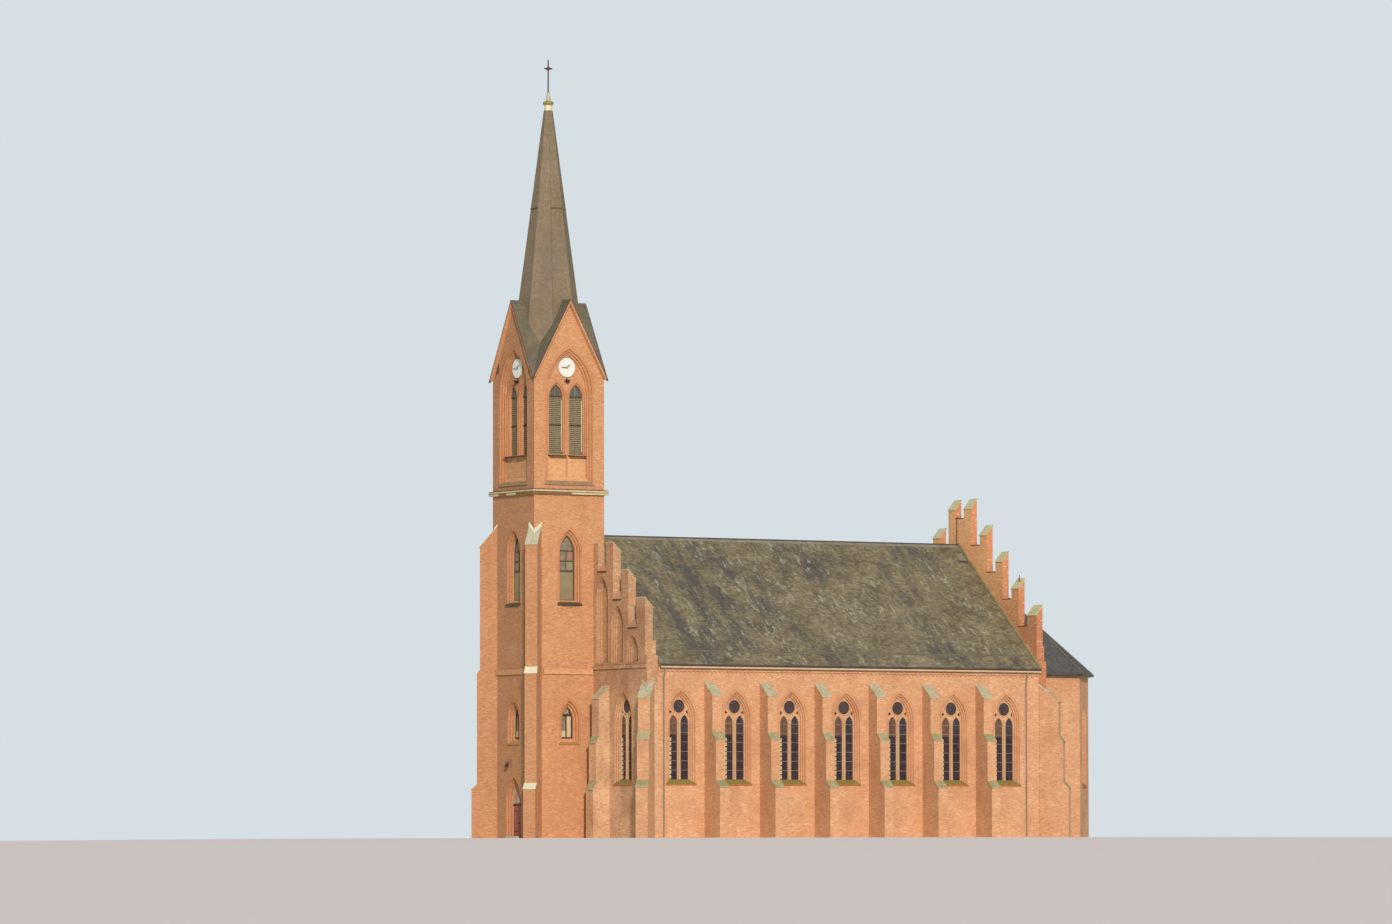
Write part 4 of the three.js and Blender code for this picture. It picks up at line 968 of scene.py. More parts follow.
def tower_lancets():
    """The low and the middle lancet of three of the tower's walls."""
    for side in ("south", "west", "north"):
        for orders, spring, radius, sill_foot in (LOW_LANCET, MIDDLE_LANCET):
            surround("lancet", TOWER_FACES[side], orders, sill_foot + 0.2, spring, radius)
        middle_lancet(TOWER_FACES[side])
        low_lancet(TOWER_FACES[side])


# The chancel's lancets
APSE_ORDERS = [(0.9, 0.12), (0.76, 0.24), (0.62, 0.35)]
APSE_SPRING = 9.7
APSE_RADIUS = 1.7


def apse_lancets():
    """Panes, bars, mouldings and sills of the lancet in each of the apse's three walls."""
    half, radius = innermost(APSE_ORDERS, APSE_RADIUS)
    for turn in APSE_TURNS:
        face = Face(APSE_X, 0, turn, CHANCEL_HALF)
        surround("apse", face, APSE_ORDERS, LIGHT_FOOT - 0.2, APSE_SPRING, APSE_RADIUS)
        add("apse_panes", face, pane(arch(half, LIGHT_FOOT, APSE_SPRING, radius, 0.0, 8), PANE_OUT))
        add("apse_bars", face, light_bars(0.0, half, LIGHT_FOOT, APSE_SPRING, PANE_OUT),
            block((-0.015, 0.015), (LIGHT_FOOT, 10.6), (PANE_OUT, PANE_OUT + 0.03)))
        add("apse_sills", face, sill(WINDOW_SILL, LIGHT_FOOT, 0.0, 1.0, 0.35))


# The belfry
BELFRY_ORDERS = [(2.155, 0.15), (1.98, 0.3), (1.8, 0.42)]
BELFRY_SPRING = 35.5
BELL_HALF = 0.64
BELL_CENTRE = 0.93
BELL_FOOT = 30.54
BELL_SPRING = 35.04
BELL_BAR = 32.88
BELL_GLASS_FOOT = 35.2
RECESS_FOOT = 28.3
DIAL_LAMP_Z = 36.3
VERGE_FOOT = 3.36


def bell_light(face, centre):
    """One louvred light: sunk slats with a pale edge strip and centre line, a cross bar and a glazed head."""
    for half, out in ((0.76, -0.42), (BELL_HALF, -0.51)):
        path = arch(half, BELL_FOOT, BELL_SPRING, BELL_HALF + half, centre, 8)
        add("belfry_mouldings", face, carried(rod(0.04, 6, out - 0.025, 0.03), path))
    add("belfry_arch_bricks", face, arch_bricks(0.76, BELL_SPRING, 1.4, centre, 0.2, -0.42))
    levels = np.arange(BELL_FOOT + 0.05, BELL_GLASS_FOOT - 0.1, 0.155)
    slat = [(0.0, -0.74), (0.02, -0.74), (0.14, -0.87), (0.12, -0.87)]
    add("belfry_slats", face, repeated(drawn_out(slat, *about(centre, 0.635), ALONG), spots(0, levels, 0)))
    add("belfry_lines", face, block(about(centre, 0.02), (BELL_FOOT, BELL_GLASS_FOOT), (-0.74, -0.72)),
        block(about(centre, 0.03), (BELL_GLASS_FOOT + 0.03, BELL_GLASS_FOOT + 0.8), (-0.71, -0.69)))
    add("belfry_edge_strips", face,
        block(about(centre + 0.61, 0.025), (BELL_FOOT + 0.25, 34.9), (-0.72, -0.66)))
    for low, thick, front in ((BELL_BAR, 0.08, -0.69), (BELL_GLASS_FOOT - 0.04, 0.07, -0.7)):
        add("belfry_cross_bars", face,
            block(about(centre, BELL_HALF), (low, low + thick), (-0.73, front)))
    head = arch(BELL_HALF, BELL_GLASS_FOOT, BELL_SPRING + 0.17, 2 * BELL_HALF, centre, 8)
    add("belfry_glazed_heads", face, pane(head, -0.71, 0.02))
    add("belfry_light_sills", face, sill(BELL_FOOT - 0.06, BELL_FOOT + 0.04, centre, 0.78, 0.74, -0.36, 0.09))


def belfry():
    """The recess in each of the tower's four gables: orders, lights, sills, a lamp under the dial, and the
    row of bricks along the gable's verges."""
    foot = GABLE_APEX - GABLE_SLOPE * VERGE_FOOT
    verge = [(-VERGE_FOOT, foot), (0.0, GABLE_APEX), (VERGE_FOOT, foot)]
    edge = [(-0.22, -0.02), (-0.012, -0.02), (-0.012, 0.262), (-0.14, 0.262), (-0.22, 0.06)]
    slope = [(RECESS_FOOT + rise, out)
             for rise, out in ((0.0, -0.18), (0.14, -0.2), (0.445, -0.42), (0.3, -0.42))]
    for face in TOWER_FACES.values():
        surround("belfry", face, BELFRY_ORDERS, RECESS_FOOT, BELFRY_SPRING, 3.9)
        add("belfry_mouldings", face,
            drawn_out(circle(0.06, (0, -0.43), 8), RECESS_FOOT + 0.5, BELFRY_SPRING - 0.2, UP))
        for side in (-1, 1):
            bell_light(face, side * BELL_CENTRE)
            add("belfry_panels", face,
                block(about(side * 0.92, 0.82), (RECESS_FOOT + 0.48, BELL_FOOT - 0.12), (-0.43, -0.414)))
        add("belfry_recess_sills", face,
            sill(RECESS_FOOT - 0.16, RECESS_FOOT + 0.12, 0.0, 2.28, 0.2, 0.1, 0.06))
        add("belfry_sill_bricks", face, drawn_out(slope, -1.97, 1.97, ALONG))
        for half, low, high, depths in ((0.2, 0.06, 0.14, (-0.42, -0.2)), (0.1, 0.0, 0.22, (-0.3, -0.1)),
                                        (0.03, 0.0, 0.4, (-0.42, -0.38))):
            add("dial_lamps", face, block(about(0, half), (DIAL_LAMP_Z + low, DIAL_LAMP_Z + high), depths))
        add("gable_verge_bricks", face, carried(edge, verge))


# The clocks
DIAL = (0, 37.5)
DIAL_FRONT = -0.36
RIM_RADIUS = 0.785
MARK_END = 0.7


def clocks():
    """Rim and hour marks on every dial, and still hands on the two dials that nothing turns: the share of a
    turn, the length, the width and how far out of the dial."""
    for side, face in TOWER_FACES.items():
        add("clock_rims", face, hoop(RIM_RADIUS, DIAL, 0.018, DIAL_FRONT - 0.008, 48))
        for hour in range(12):
            length = 0.1 if hour % 3 == 0 else 0.06
            mark = ray(hour / 12, MARK_END - length, MARK_END, DIAL)
            add("clock_marks", face, strip(mark, 0.018, DIAL_FRONT, DIAL_FRONT + 0.006))
        if side in ("north", "east"):
            for turn, length, width, out in ((1.75 / 12, 0.43, 0.07, 0.05), (0.75, 0.64, 0.05, 0.09)):
                back = DIAL_FRONT + out
                add("still_hands", face, strip(ray(turn, -0.1, length, DIAL), width, back, back + 0.02))


# Stone caps and ledges. A buttress's stage is its depth, shoulder and top, and the next stage's depth. The
# head of a corner buttress is its depth, where its slope starts, and the slope.
BUTTRESS_WIDTH = 0.85
CORNER_WIDTH = 0.97
NAVE_STAGES = [(2.3, 4.01, 4.49, 1.7), (1.7, 7.78, 8.3, 1.2), (1.2, 11.24, 12.29, 0.0)]
FRONT_STAGES = [(1.53, 3.85, 4.4, 1.26), (1.26, 7.56, 8.04, 0.98), (0.98, 11.05, 12.03, 0.0)]
TOWER_STAGES = [(1.65, 3.9, 4.3, 1.2), (1.2, 13.1, 13.5, 0.95)]
CORNER_STAGES = [(1.9, 4.01, 4.49, 1.45), (1.45, 7.78, 8.3, 1.1)]
TOWER_HEAD = (0.95, 23.3, 1.115)
CORNER_HEAD = (1.1, 11.05, 0.782)
FRONT_BUTTRESS = 5.13
FRONT_BUTTRESS_WIDTH = 1.1
NAVE_CORNERS = ((FRONT_X, -NAVE_HALF, 315), (FRONT_X, NAVE_HALF, 225), (EAST_FACE, -NAVE_HALF, 45),
                (EAST_FACE, NAVE_HALF, 135))


def stage_caps(name, face, stages, width=CORNER_WIDTH, centre=0.0):
    """A sloping cap on each set-off of a buttress."""
    for depth, shoulder, top, inner in stages:
        plan = span(centre, width / 2 + CAP_LIP, depth + 0.05, inner - 0.02)
        add(name, face, slab(plan, (depth, shoulder), (top - shoulder) / (depth - inner), CAP_THICK))


def corner_head(caps, strips, face, depth, low, slope):
    """The head of a corner buttress: two slabs that meet on a joint, cut to the corner's two walls behind,
    and a raised strip along each wall."""
    half = CORNER_WIDTH / 2 + CAP_LIP
    for side in (-1, 1):
        joint, end = side * 0.012, side * (half + 0.02)
        plan = [(joint, depth + 0.06), (side * half, depth + 0.06), (side * half, -half), (joint, 0.0)]
        add(caps, face, slab(plan, (depth, low), slope, CAP_THICK))
        plan = [(joint, 0.24), (end, 0.24 - half), (end, -half), (joint, 0.0)]
        add(strips, face, slab(plan, (depth, low), slope, CAP_THICK + 0.12))


def nave_caps(face, stages, width, centre):
    """Caps of a nave buttress, the highest one less green."""
    stage_caps("nave_buttress_low_caps", face, stages[:2], width, centre)
    stage_caps("nave_buttress_caps", face, stages[2:], width, centre)


def buttress_caps():
    """Caps of all buttresses: cream on the tower, mossy on the nave, and greenest on the lowest set-offs."""
    for turn in (315, 225):
        face = Face(0, -TOWER_HALF if turn == 315 else TOWER_HALF, turn)
        stage_caps("tower_buttress_strips", face, TOWER_STAGES)
        corner_head("tower_buttress_caps", "tower_buttress_strips", face, *TOWER_HEAD)
    for face, sign in NAVE_FACES:
        for i in range(WINDOW_COUNT - 1):
            nave_caps(face, NAVE_STAGES, BUTTRESS_WIDTH, sign * (WINDOW_FIRST + (i + 0.5) * WINDOW_PITCH))
    for side in (-1, 1):
        nave_caps(WEST_FRONT, FRONT_STAGES, FRONT_BUTTRESS_WIDTH, side * FRONT_BUTTRESS)
    for x, y, turn in NAVE_CORNERS:
        face = Face(x, y, turn)
        stage_caps("nave_buttress_low_caps", face, CORNER_STAGES)
        corner_head("nave_buttress_caps", "nave_buttress_caps", face, *CORNER_HEAD)


# How far out of each gable's face its pinnacles begin and end, and the east gable's drips
EAST_DEPTHS = (-0.15, -0.75)
WEST_DEPTHS = (0.0, -0.7)
DRIP_DEPTHS = (-0.79, -0.3)


def pinnacle_ends(k):
    """The near and far ends of a pinnacle along the gable: one stands in the middle of each step, but the
    last is wider."""
    return OUTER_PINNACLE if k == 4 else ((k + 0.5) * STEP - PINNACLE_HALF, (k + 0.5) * STEP + PINNACLE_HALF)


def gable_cap(face, side, near, far, depths, top):
    """A cap that slopes back over a pinnacle: it falls by the same height over the whole depth."""
    front, back = depths
    plan = span(side * (near + far) / 2, (far - near) / 2 + CAP_OVER, front + CAP_OVER, back - CAP_OVER)
    add("pinnacle_caps", face, slab(plan, (front, top), -PINNACLE_FALL / (front - back), CAP_THICK))


def gable_caps():
    """Sloping caps on the pinnacles of both stepped gables, and copings in the gaps between them."""
    for side in (-1, 1):
        for k in range(5):
            near, far = pinnacle_ends(k)
            top = PINNACLE_TOP - STEP_DROP * k
            gable_cap(EAST_GABLE, side, near, far, EAST_DEPTHS, top)
            if k > 0:
                top -= STEP_DROP if k == 1 else 0.0
                gable_cap(WEST_FRONT, side, max(near, TOWER_HALF + CAP_OVER), far, WEST_DEPTHS, top)
        for k in range(4):
            low, high = sorted((side * pinnacle_ends(k)[1], side * pinnacle_ends(k + 1)[0]))
            top = GAP_TOP - GAP_DROP * (k + 1)
            for face, depth in ((EAST_GABLE, 0.34), (WEST_FRONT, 0.45))[:2 if k > 0 else 1]:
                plan = span((low + high) / 2, (high - low) / 2, 0.05, -depth)
                add("gap_copings", face, slab(plan, (0.0, top - 0.6), 0.6 / depth, 0.05))
            add("gap_drips", EAST_GABLE, block((low, high), (top, top + 0.05), DRIP_DEPTHS))
            if k > 0:
                add("gap_drips", WEST_FRONT, block((low, high), (top - 0.7, top - 0.61), (-0.02, 0.09)))
    add("gap_drips", EAST_GABLE, block((-0.63, 0.63), (GAP_TOP, GAP_TOP + 0.05), DRIP_DEPTHS))


# The blind arches: the middle and the apex of each, and their widest order's half width and radius
BLIND_ARCHES = ((4.6, 20.69), (6.9, 18.39), (9.2, 16.03))
BLIND_HALF = 0.87
BLIND_RADIUS = 1.566
BLIND_FOOT = 13.95


def blind_arches():
    """Mouldings, arch bricks and sills of the blind arches of both gables, flatter on the east one. Each
    arch springs as far under its apex as its arcs rise: the root of its radius squared less its reach
    squared."""
    for face, share, places in ((WEST_FRONT, 1.0, BLIND_ARCHES), (EAST_GABLE, 0.6, BLIND_ARCHES[1:])):
        orders = [(BLIND_HALF, 0.13 * share), (0.74, 0.26 * share), (0.61, 0.38 * share)]
        for centre, apex in places:
            spring = apex - math.sqrt(BLIND_RADIUS ** 2 - (BLIND_RADIUS - BLIND_HALF) ** 2)
            for middle in (-centre, centre):
                surround("blind_arch", face, orders, BLIND_FOOT, spring, BLIND_RADIUS, middle, "_bricks")
                add("blind_arch_sills", face,
                    sill(BLIND_FOOT - 0.23, BLIND_FOOT - 0.05, middle, 0.92, 0.3 * share, 0.04))


# Bands. The gutter's outline is (up, out) from the eave's edge.
GUTTER = np.array([(-0.08, 0.06), (-0.15, 0.0), (-0.15, -0.06), (-0.1, -0.1), (0.0, -0.1), (0.02, 0.06)])
BRICK_BAND_FOOT = 13.01

# A stretch of the string-course's lower edge runs from one cut to the next, and every other is pale.
STRING_CUTS = (("south", False, (-3.5, 0.1, 3.5)), ("west", True, (-3.5, -1.9, -0.7, 0.8, 3.5)),
               ("north", True, (-3.5, 0.4, 3.5)), ("east", False, (-3.5, 3.5)))


def tower_bands():
    """The string-course's dark drip and, under it, a dark line of painted shadow where its lower part would lie
    back; its lower edge, stained but still pale in stretches; and the brick band lower down with its small
    dentils."""
    corner = TOWER_HALF * 2
    around = [(0.0, -TOWER_HALF), (0.0, TOWER_HALF), (corner, TOWER_HALF), (corner, -TOWER_HALF)]
    under = STRING_TOP - 0.2
    drip = [(0.0, STRING_TOP), (0.27, STRING_TOP - 0.02), (0.27, STRING_TOP + 0.01), (0.0, STRING_TOP + 0.06)]
    # A dark line under the drip: painted shadow, standing for the recess of the course's lower part
    painted_shadow_line = [(0.24, under), (0.275, under), (0.275, under + 0.035), (0.24, under + 0.035)]
    add("string_drip", PLAN, carried(drip, around, True), carried(painted_shadow_line, around, True))
    lower = [(STRING_BOTTOM - 0.01, 0.2), (STRING_BOTTOM - 0.01, 0.256), (under, 0.256), (under, 0.24)]
    for side, pale, cuts in STRING_CUTS:
        for low, high in zip(cuts, cuts[1:]):
            name = "string_pale_edge" if pale else "string_stains"
            add(name, TOWER_FACES[side], drawn_out(lower, low, high, ALONG))
            pale = not pale
    for side, way, first, last, ends in (("south", 1, -2.35, 2.1, (-2.44, 2.12)),
                                         ("north", -1, -2.35, 2.1, (-2.12, 2.44)),
                                         ("west", 1, -3.1, 3.1, (-3.24, 3.24))):
        places = way * np.arange(first, last, 0.26)
        add("brick_band_dentils", TOWER_FACES[side],
            block(about(places, 0.055), (BRICK_BAND_FOOT - 0.09, BRICK_BAND_FOOT - 0.01), (-0.01, 0.025)),
            block(ends, (BRICK_BAND_FOOT, BRICK_BAND_FOOT + 0.43), about(BRICK_BAND_OUT - 0.006, 0.014)))


def nave_bands():
    """Below each of the nave's eaves: a gutter, a pale cornice board and a row of corbels."""
    gutter = GUTTER + (EAVE, EAVE_HALF - NAVE_HALF)
    for face, sign in NAVE_FACES:
        ends = sorted((sign * (NAVE_WEST + 0.05), sign * (NAVE_EAST - 0.05)))
        add("nave_gutters", face, drawn_out(gutter, *ends, ALONG))
        add("nave_cornice_boards", face, block(ends, (EAVE - 0.3, EAVE - 0.18), (0.3, 0.43)))
        places = np.arange(ends[0] + 0.3, ends[1] - 0.3, 0.39)
        add("nave_corbels", face, block(about(places, 0.065), (EAVE - 0.68, EAVE - 0.54), (-0.01, 0.06)))


# The foot of the spire's slates behind the gables and between them, and of the rods on its edges
SPIRE_BEHIND = 41.0
SPIRE_BETWEEN = 38.9
SPIRE_HIP_FOOT = 40.95

# Slates: their width and the height of a course
SMALL_SLATE = (0.2, 0.155)
CHANCEL_SLATE_SIZE = (0.25, 0.2)
NAVE_SLATE_SIZE = (0.27, 0.2)


def slated(foot, rise, lean, edges, size, seed, lift=0.008):
    """Courses of slates on a plane that starts at the (out, up) point foot, rises so far and leans back by
    lean for each metre that it rises. edges gives its left and right ends at the foot and at the top. Each
    slate is a wedge: its lower edge stands off the plane and its upper edge lies on it, and it is cut off
    straight at the plane's ends. Odd courses are shifted by half a slate."""
    width, course = size
    stretch = math.hypot(1.0, lean)
    height = rise * stretch
    left_low, right_low, left_high, right_high = edges
    draw = np.random.default_rng(seed)
    rows = np.arange(math.ceil(height / course))[:, None]
    first = min(left_low, left_high)
    columns = np.arange(int((max(right_low, right_high) - first) / width) + 2)
    start = first + (columns - 0.5 * (rows % 2)) * width
    low = rows * course
    high = np.minimum(low + course, height)
    cuts = [np.clip(value, left_low + (left_high - left_low) * level / height,
                    right_low + (right_high - right_low) * level / height)
            for level in (low, high) for value in (start, start + width - 0.006)]
    stand = lift + draw.uniform(0, 0.006, start.shape)
    corners = [(cuts[0], low, stand), (cuts[1], low, stand), (cuts[3], high, 0.003), (cuts[2], high, 0.003),
               (cuts[0], low, 0.0), (cuts[1], low, 0.0)]
    full = (cuts[1] - cuts[0] + cuts[3] - cuts[2]) > 0.04
    points = np.stack([spots(*corner) for corner in corners], 2)[full]
    axes = np.array([(stretch, 0, 0), (0, 1, -lean), (0, lean, 1)]) / stretch
    number = np.arange(len(points))[:, None] * 6
    quads = np.concatenate([number + [0, 1, 2, 3], number + [4, 5, 1, 0]], 1).reshape(-1, 4)
    sides = np.concatenate([number + [4, 0, 3], number + [5, 2, 1]], 1).reshape(-1, 3)
    tones = draw.uniform(0, 1, len(points))
    corners = points.reshape(-1, 3) @ axes + (0, foot[1], foot[0])
    return corners, quads.tolist() + sides.tolist(), np.tile(np.repeat(tones, 2), 2)


def hip_rod(profile, path):
    """A rod along (out, up) points in the plane that stands square to a face."""
    corners, faces = carried(profile, path)
    return corners[:, ::-1], faces


def nave_roof():
    """Both slopes of the nave, from the eaves to the ridge between the two gables, with the ridge, the
    flashing up the east gable, a roof hatch with a dark strip of painted shadow along its lower edge, and a
    snow board above the eaves."""
    rise, run, hatch = RIDGE - EAVE, EAVE_HALF, 42.2
    length, slope, eave = NAVE_EAST - NAVE_WEST, rise / run, (EAVE_HALF, EAVE)
    edges = (0, length, 0, length)
    for side, start, turn, seed in (("south", NAVE_WEST, 0, 11), ("north", NAVE_EAST, 180, 12)):
        add("nave_slates_" + side, Face(start, 0, turn),
            slated(eave, rise, run / rise, edges, NAVE_SLATE_SIZE, seed, 0.014))
    for name, wide, lift in (("nave_ridge_flaps", 0.3, 0.035), ("nave_ridge", 0.09, 0.07)):
        foot = RIDGE - wide * slope
        peak = [(foot + lift, wide), (RIDGE + lift, 0.0), (foot + lift, -wide), (foot - 0.03, -wide),
                (RIDGE - 0.04, 0.0), (foot - 0.03, wide)]
        add(name, LYING_SOUTH, drawn_out(peak, NAVE_WEST, NAVE_EAST, ALONG))
    for face, sign in AXIS_FACES:
        for name, west, east, front, back, thick in (
                ("east_flashings", NAVE_EAST - 0.22, NAVE_EAST, run + 0.02, 0.02, 0.16),
                ("snow_boards", NAVE_WEST + 0.1, NAVE_EAST - 0.3, run - 1.12, run - 1.17, 0.1)):
            plan = span(sign * (west + east) / 2, (east - west) / 2, front, back)
            add(name, face, slab(plan, eave, slope, thick))
    add("roof_hatch", LYING_SOUTH, slab(span(hatch, 0.36, 1.66, 1.05), eave, slope, 0.16))
    # A dark strip along the hatch's lower edge: painted shadow
    add("roof_hatch_foot", LYING_SOUTH, slab(span(hatch, 0.42, 1.76, 1.66), eave, slope, 0.11))


def spire_roof():
    """Eight tapering faces. At each height they stand off the axis by the spread times the height left to
    the point. Those that look along the axes start higher, behind the gables' ridges, and stand a little
    proud above the ledge."""
    for k in range(8):
        face, axial = Face(TOWER_HALF, 0, k * 45), k % 2 == 0
        foot, proud_top = (SPIRE_BEHIND, 0.03) if axial else (SPIRE_BETWEEN, 0.005)
        stages = ((foot, SPIRE_LEDGE, 0.005), (SPIRE_LEDGE, SPIRE_TOP, proud_top))
        for number, (low, high, proud) in enumerate(stages):
            wide, narrow = (SPIRE_SPREAD * (SPIRE_POINT - z) + proud for z in (low, high))
            edges = (-wide * EIGHTH, wide * EIGHTH, -narrow * EIGHTH, narrow * EIGHTH)
            seed = 20 + 2 * k + number
            add("spire_slates", face, slated((wide, low), high - low, SPIRE_SPREAD, edges, SMALL_SLATE, seed))
        reach = SPIRE_SPREAD * (SPIRE_POINT - SPIRE_LEDGE)
        if axial:
            half = reach * EIGHTH + 0.02
            edge = [(SPIRE_LEDGE - 0.06, reach - 0.02), (SPIRE_LEDGE - 0.06, reach + 0.06),
                    (SPIRE_LEDGE + 0.01, reach + 0.07), (SPIRE_LEDGE + 0.06, reach + 0.04),
                    (SPIRE_LEDGE + 0.06, reach - 0.02)]
            name = "spire_south_ledges" if k % 4 == 0 else "spire_west_ledges"
            add(name, face, drawn_out(edge, -half, half, ALONG))
        levels = np.array([SPIRE_HIP_FOOT, SPIRE_TOP])
        reach = SPIRE_SPREAD * (SPIRE_POINT - levels) / math.cos(math.pi / 8)
        hip = np.stack([reach, levels], 1)
        add("spire_hips", Face(TOWER_HALF, 0, (k + 0.5) * 45), hip_rod(rod(0.025), hip))


def gable_roofs():
    """The eight small slopes over the tower's gables, each from its verge in to the valleys, with ridge caps
    and a dark edge along each verge."""
    rise, run = GABLE_APEX - GABLE_FOOT, GABLE_FOOT_HALF
    reach = TOWER_HALF + GABLE_VERGE
    edge = [(-0.02, reach - 0.03), (0.012, reach - 0.03), (0.012, reach + 0.02), (-0.02, reach + 0.02)]
    peak = np.array([(-0.14, -0.2), (0.0, 0.04), (0.14, -0.2), (0.1, -0.24), (0.0, -0.03), (-0.1, -0.24)])
    peak += (0.0, GABLE_APEX)
    for turn in (0, 90, 180, 270):
        for side in (-1, 1):
            edges = (-reach, -run, -reach, 0.0) if side > 0 else (run, reach, 0.0, reach)
            add("gable_slates", Face(TOWER_HALF, 0, turn + 90 * side),
                slated((run, GABLE_FOOT), rise, run / rise, edges, SMALL_SLATE, 50 + turn + side))
        face = Face(TOWER_HALF, 0, turn)
        add("gable_ridges", face, drawn_out(peak, 2.3, reach, OUT))
        add("gable_verges", face, carried(edge, [(-run, GABLE_FOOT), (0.0, GABLE_APEX), (run, GABLE_FOOT)]))


def chancel_slates():
    """The chancel's two long slopes and the three hipped faces over the apse, with ridge and hip rolls, and
    gutters under the eaves."""
    rise, run = CHANCEL_RIDGE - CHANCEL_EAVE, CHANCEL_EAVE_HALF
    corner = run * EIGHTH
    length = APSE_X - EAST_FACE
    fields = [(EAST_FACE, 0, (0, length + corner, 0, length), 71),
              (EAST_FACE, 180, (-length - corner, 0, -length, 0), 69)]
    fields += [(APSE_X, turn, (-corner, corner, 0, 0), 80 + turn) for turn in APSE_TURNS]
    for x, turn, edges, seed in fields:
        add("chancel_slates", Face(x, 0, turn),
            slated((run, CHANCEL_EAVE), rise, run / rise, edges, CHANCEL_SLATE_SIZE, seed, 0.018))
    ridge = circle(0.09, (CHANCEL_RIDGE + 0.02, 0.0), 8)
    add("chancel_hips", LYING_SOUTH, drawn_out(ridge, EAST_FACE, APSE_X, ALONG))
    hip = [(run / math.cos(math.pi / 8), CHANCEL_EAVE + 0.02), (0.0, CHANCEL_RIDGE + 0.02)]
    for turn in (22.5, 67.5, 112.5, 157.5):
        add("chancel_hips", Face(APSE_X, 0, turn), hip_rod(rod(0.07, 8), hip))
    gutter = GUTTER + (CHANCEL_EAVE, run)
    for turn, west, east in ((0, -length, corner), *[(turn, -corner, corner) for turn in APSE_TURNS],
                             (180, -corner, length)):
        add("chancel_gutters", Face(APSE_X, 0, turn), drawn_out(gutter, west, east, ALONG))


# Portal and doors
PORTAL_ORDERS = [(1.15, 0.17), (1.0, 0.34), (0.85, 0.52)]
PORTAL_SPRING = 2.96
PORTAL_RADIUS = 2.07
DOOR_HEAD = 2.6
DOOR_OUT = -0.535


def portal():
    """The west portal: mouldings and arch bricks, a tympanum with a plain relief, a transom and a step. The
    relief's leaf has a radius that swells three times round."""
    face = TOWER_FACES["west"]
    half, radius = innermost(PORTAL_ORDERS, PORTAL_RADIUS)
    surround("portal", face, PORTAL_ORDERS, 0.3, PORTAL_SPRING, PORTAL_RADIUS)
    tympanum = arch(half, DOOR_HEAD + 0.04, PORTAL_SPRING, radius)
    add("portal_tympanum", face, drawn_out(tympanum, -0.53, -0.5, OUT))
    angle = np.linspace(0, 2 * math.pi, 36, endpoint=False)
    leaf = 0.14 + 0.1 * np.abs(np.cos(1.5 * angle))
    relief = np.stack([-leaf * np.sin(angle), 3.0 + leaf * np.cos(angle)], 1)
    add("portal_relief", face, drawn_out(relief, -0.505, -0.46, OUT),
        strip(arch(half - 0.11, DOOR_HEAD + 0.16, PORTAL_SPRING, radius - 0.11), 0.05, -0.505, -0.48))
    add("portal_transom", face, block(about(0, half), (DOOR_HEAD, DOOR_HEAD + 0.12), (-0.53, -0.46)))
    add("portal_step", face, block(about(0, half - 0.001), (0.0, 0.16), (-0.52, 0.3)))


def doors():
    """Each leaf's boards, rails, straps and ring, which ride on the leaf."""
    face, out = TOWER_FACES["west"], DOOR_OUT
    edges = np.linspace(0.02, 0.84, 6)
    for leaf, side in LEAVES.items():
        boards = np.sort([side * (edges[:-1] + 0.004), side * (edges[1:] - 0.004)], axis=0)
        add(leaf + "_boards", face, block(boards, (0.18, DOOR_HEAD - 0.01), (out, out + 0.014)))
        rails, straps = (sorted((side * near, side * 0.83)) for near in (0.03, 0.2))
        add(leaf + "_rails", face,
            block(rails, ((0.2, 1.84, 2.44), (0.36, 1.96, 2.58)), (out + 0.012, out + 0.028)))
        add(leaf + "_ironwork", face, block(straps, ((0.5, 2.12), (0.56, 2.18)), (out + 0.012, out + 0.024)),
            hoop(0.055, (side * 0.1, 1.2), 0.009, out + 0.026))


# Rods, pipes and lamp
def pipe(points, radius, sides=6):
    """A round tube along a path in space: each ring stands square to the path's mean direction there."""
    points = np.asarray(points, float)
    ahead = np.gradient(points, axis=0)
    ahead /= np.linalg.norm(ahead, axis=1)[:, None]
    aside = np.cross(ahead, (0.31, 0.59, 0.21))
    aside /= np.linalg.norm(aside, axis=1)[:, None]
    third = np.cross(ahead, aside)
    ring = circle(radius, sides=sides)
    rings = points[:, None] + ring[:, :1] * aside[:, None] + ring[:, 1:] * third[:, None]
    return rings.reshape(-1, 3), skin(len(points), sides)


def small_iron():
    """Rain pipes with swan necks, the lightning rod's cable down the east gable, a short rod, and the lamp
    over the door."""
    for side in (-1, 1):
        for x in (7.0, 41.7):
            bends = [(0.38, EAVE - 0.1), (0.38, EAVE - 0.3), (0.2, EAVE - 0.8), (0.09, EAVE - 1.1),
                     (0.09, 9.0), (0.09, 0.1)]
            add("rain_pipes", PLAN, pipe([(x, side * (NAVE_HALF + out), z) for out, z in bends], 0.055, 8))
    top = (NAVE_EAST - 0.03, 0.4, 26.55)
    add("lightning_cable", PLAN, pipe([top, (NAVE_EAST - 0.03, 0.4, RIDGE - 0.4)], 0.028),
        pipe([(43.4, 0.4, 26.5), top], 0.028), pipe([(43.35, -8.2, 20.6), (43.35, -8.2, 21.5)], 0.03))
    face, lamp = TOWER_FACES["west"], (-0.5, 0.0, 0.32)
    add("door_lamp_globe", face, turned([(0.02, 5.98), (0.1, 6.02), (0.13, 6.1), (0.12, 6.18), (0.06, 6.25),
                                         (0.02, 6.26)], 16, lamp))
    add("door_lamp", face, pipe([(-0.5, 6.0, -0.02), (-0.5, 6.0, 0.2), (-0.5, 5.9, 0.3)], 0.02),
        turned([(0.03, 5.62), (0.12, 5.66), (0.14, 5.84), (0.08, 5.98), (0.02, 6.0)], 16, lamp))


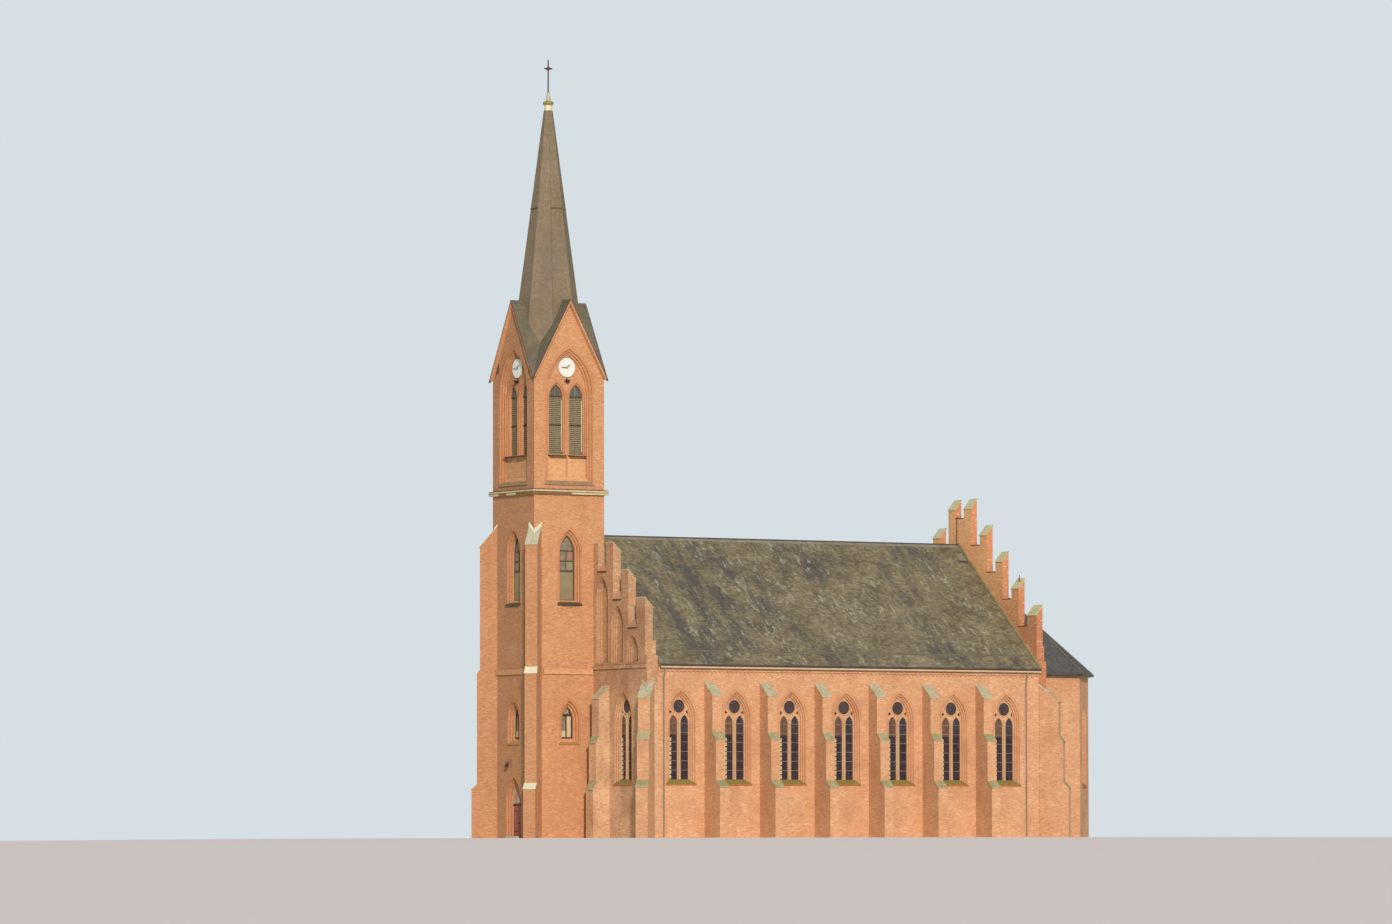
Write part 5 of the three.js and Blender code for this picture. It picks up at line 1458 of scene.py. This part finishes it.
# Stage
def stage():
    """A wide pale floor, level near the church, that falls away gently all round: by the power 1.5 of the
    distance."""
    rings, sides, level, wide = 40, 96, 16.0, 240.0
    radius = np.concatenate([[0.0], np.geomspace(level, wide, rings - 1)])[:, None]
    drop = 3.2 * np.clip((radius - level) / 200.0, 0, 1) ** 1.5
    across = circle(1.0, sides=sides)
    corners = spots(radius * across[:, 0], -radius * across[:, 1], -drop - 0.001).reshape(-1, 3)
    mesh = bpy.data.meshes.new("floor")
    mesh.from_pydata(corners.tolist(), [], skin(rings, sides)[:-2])
    pale = Finish("pale_floor", roughness=0.95)
    pale.feed(pale.shader.inputs["Base Color"], rgb(234, 232, 226))
    mesh.materials.append(pale.material)
    mesh.polygons.foreach_set("use_smooth", np.full(len(mesh.polygons), True))
    linked("floor", mesh)


def lights():
    """A warm low sun, a little west of south, and an even pale sky that lights less than it shows."""
    sun = linked("sun", bpy.data.lights.new("sun", "SUN"))
    azimuth, height = math.radians(25.0), math.radians(22.0)
    towards = Vector((-math.sin(azimuth) * math.cos(height), -math.cos(azimuth) * math.cos(height),
                      math.sin(height)))
    sun.rotation_mode = "QUATERNION"
    sun.rotation_quaternion = towards.to_track_quat("Z", "Y")
    sun.data.energy = 3.15
    sun.data.angle = math.radians(4.0)
    sun.data.color = (1.0, 0.77, 0.75)
    world = bpy.data.worlds.new("sky")
    world.use_nodes = True
    nodes, links = world.node_tree.nodes, world.node_tree.links
    sky = nodes["Background"]
    sky.inputs["Color"].default_value = (0.672, 0.738, 0.776, 1.0)
    path = nodes.new("ShaderNodeLightPath")
    strength = nodes.new("ShaderNodeMapRange")
    strength.inputs["To Min"].default_value = 0.5
    links.new(path.outputs["Is Camera Ray"], strength.inputs["Value"])
    links.new(strength.outputs[0], sky.inputs["Strength"])
    bpy.context.scene.world = world
    bpy.context.scene.view_settings.view_transform = "Standard"


photograph_camera()
finish_nodes()
two_light_windows()
tower_lancets()
apse_lancets()
belfry()
clocks()
buttress_caps()
gable_caps()
blind_arches()
tower_bands()
nave_bands()
nave_roof()
spire_roof()
gable_roofs()
chancel_slates()
portal()
doors()
small_iron()
for name in PIECES:
    make(name)
stage()
lights()
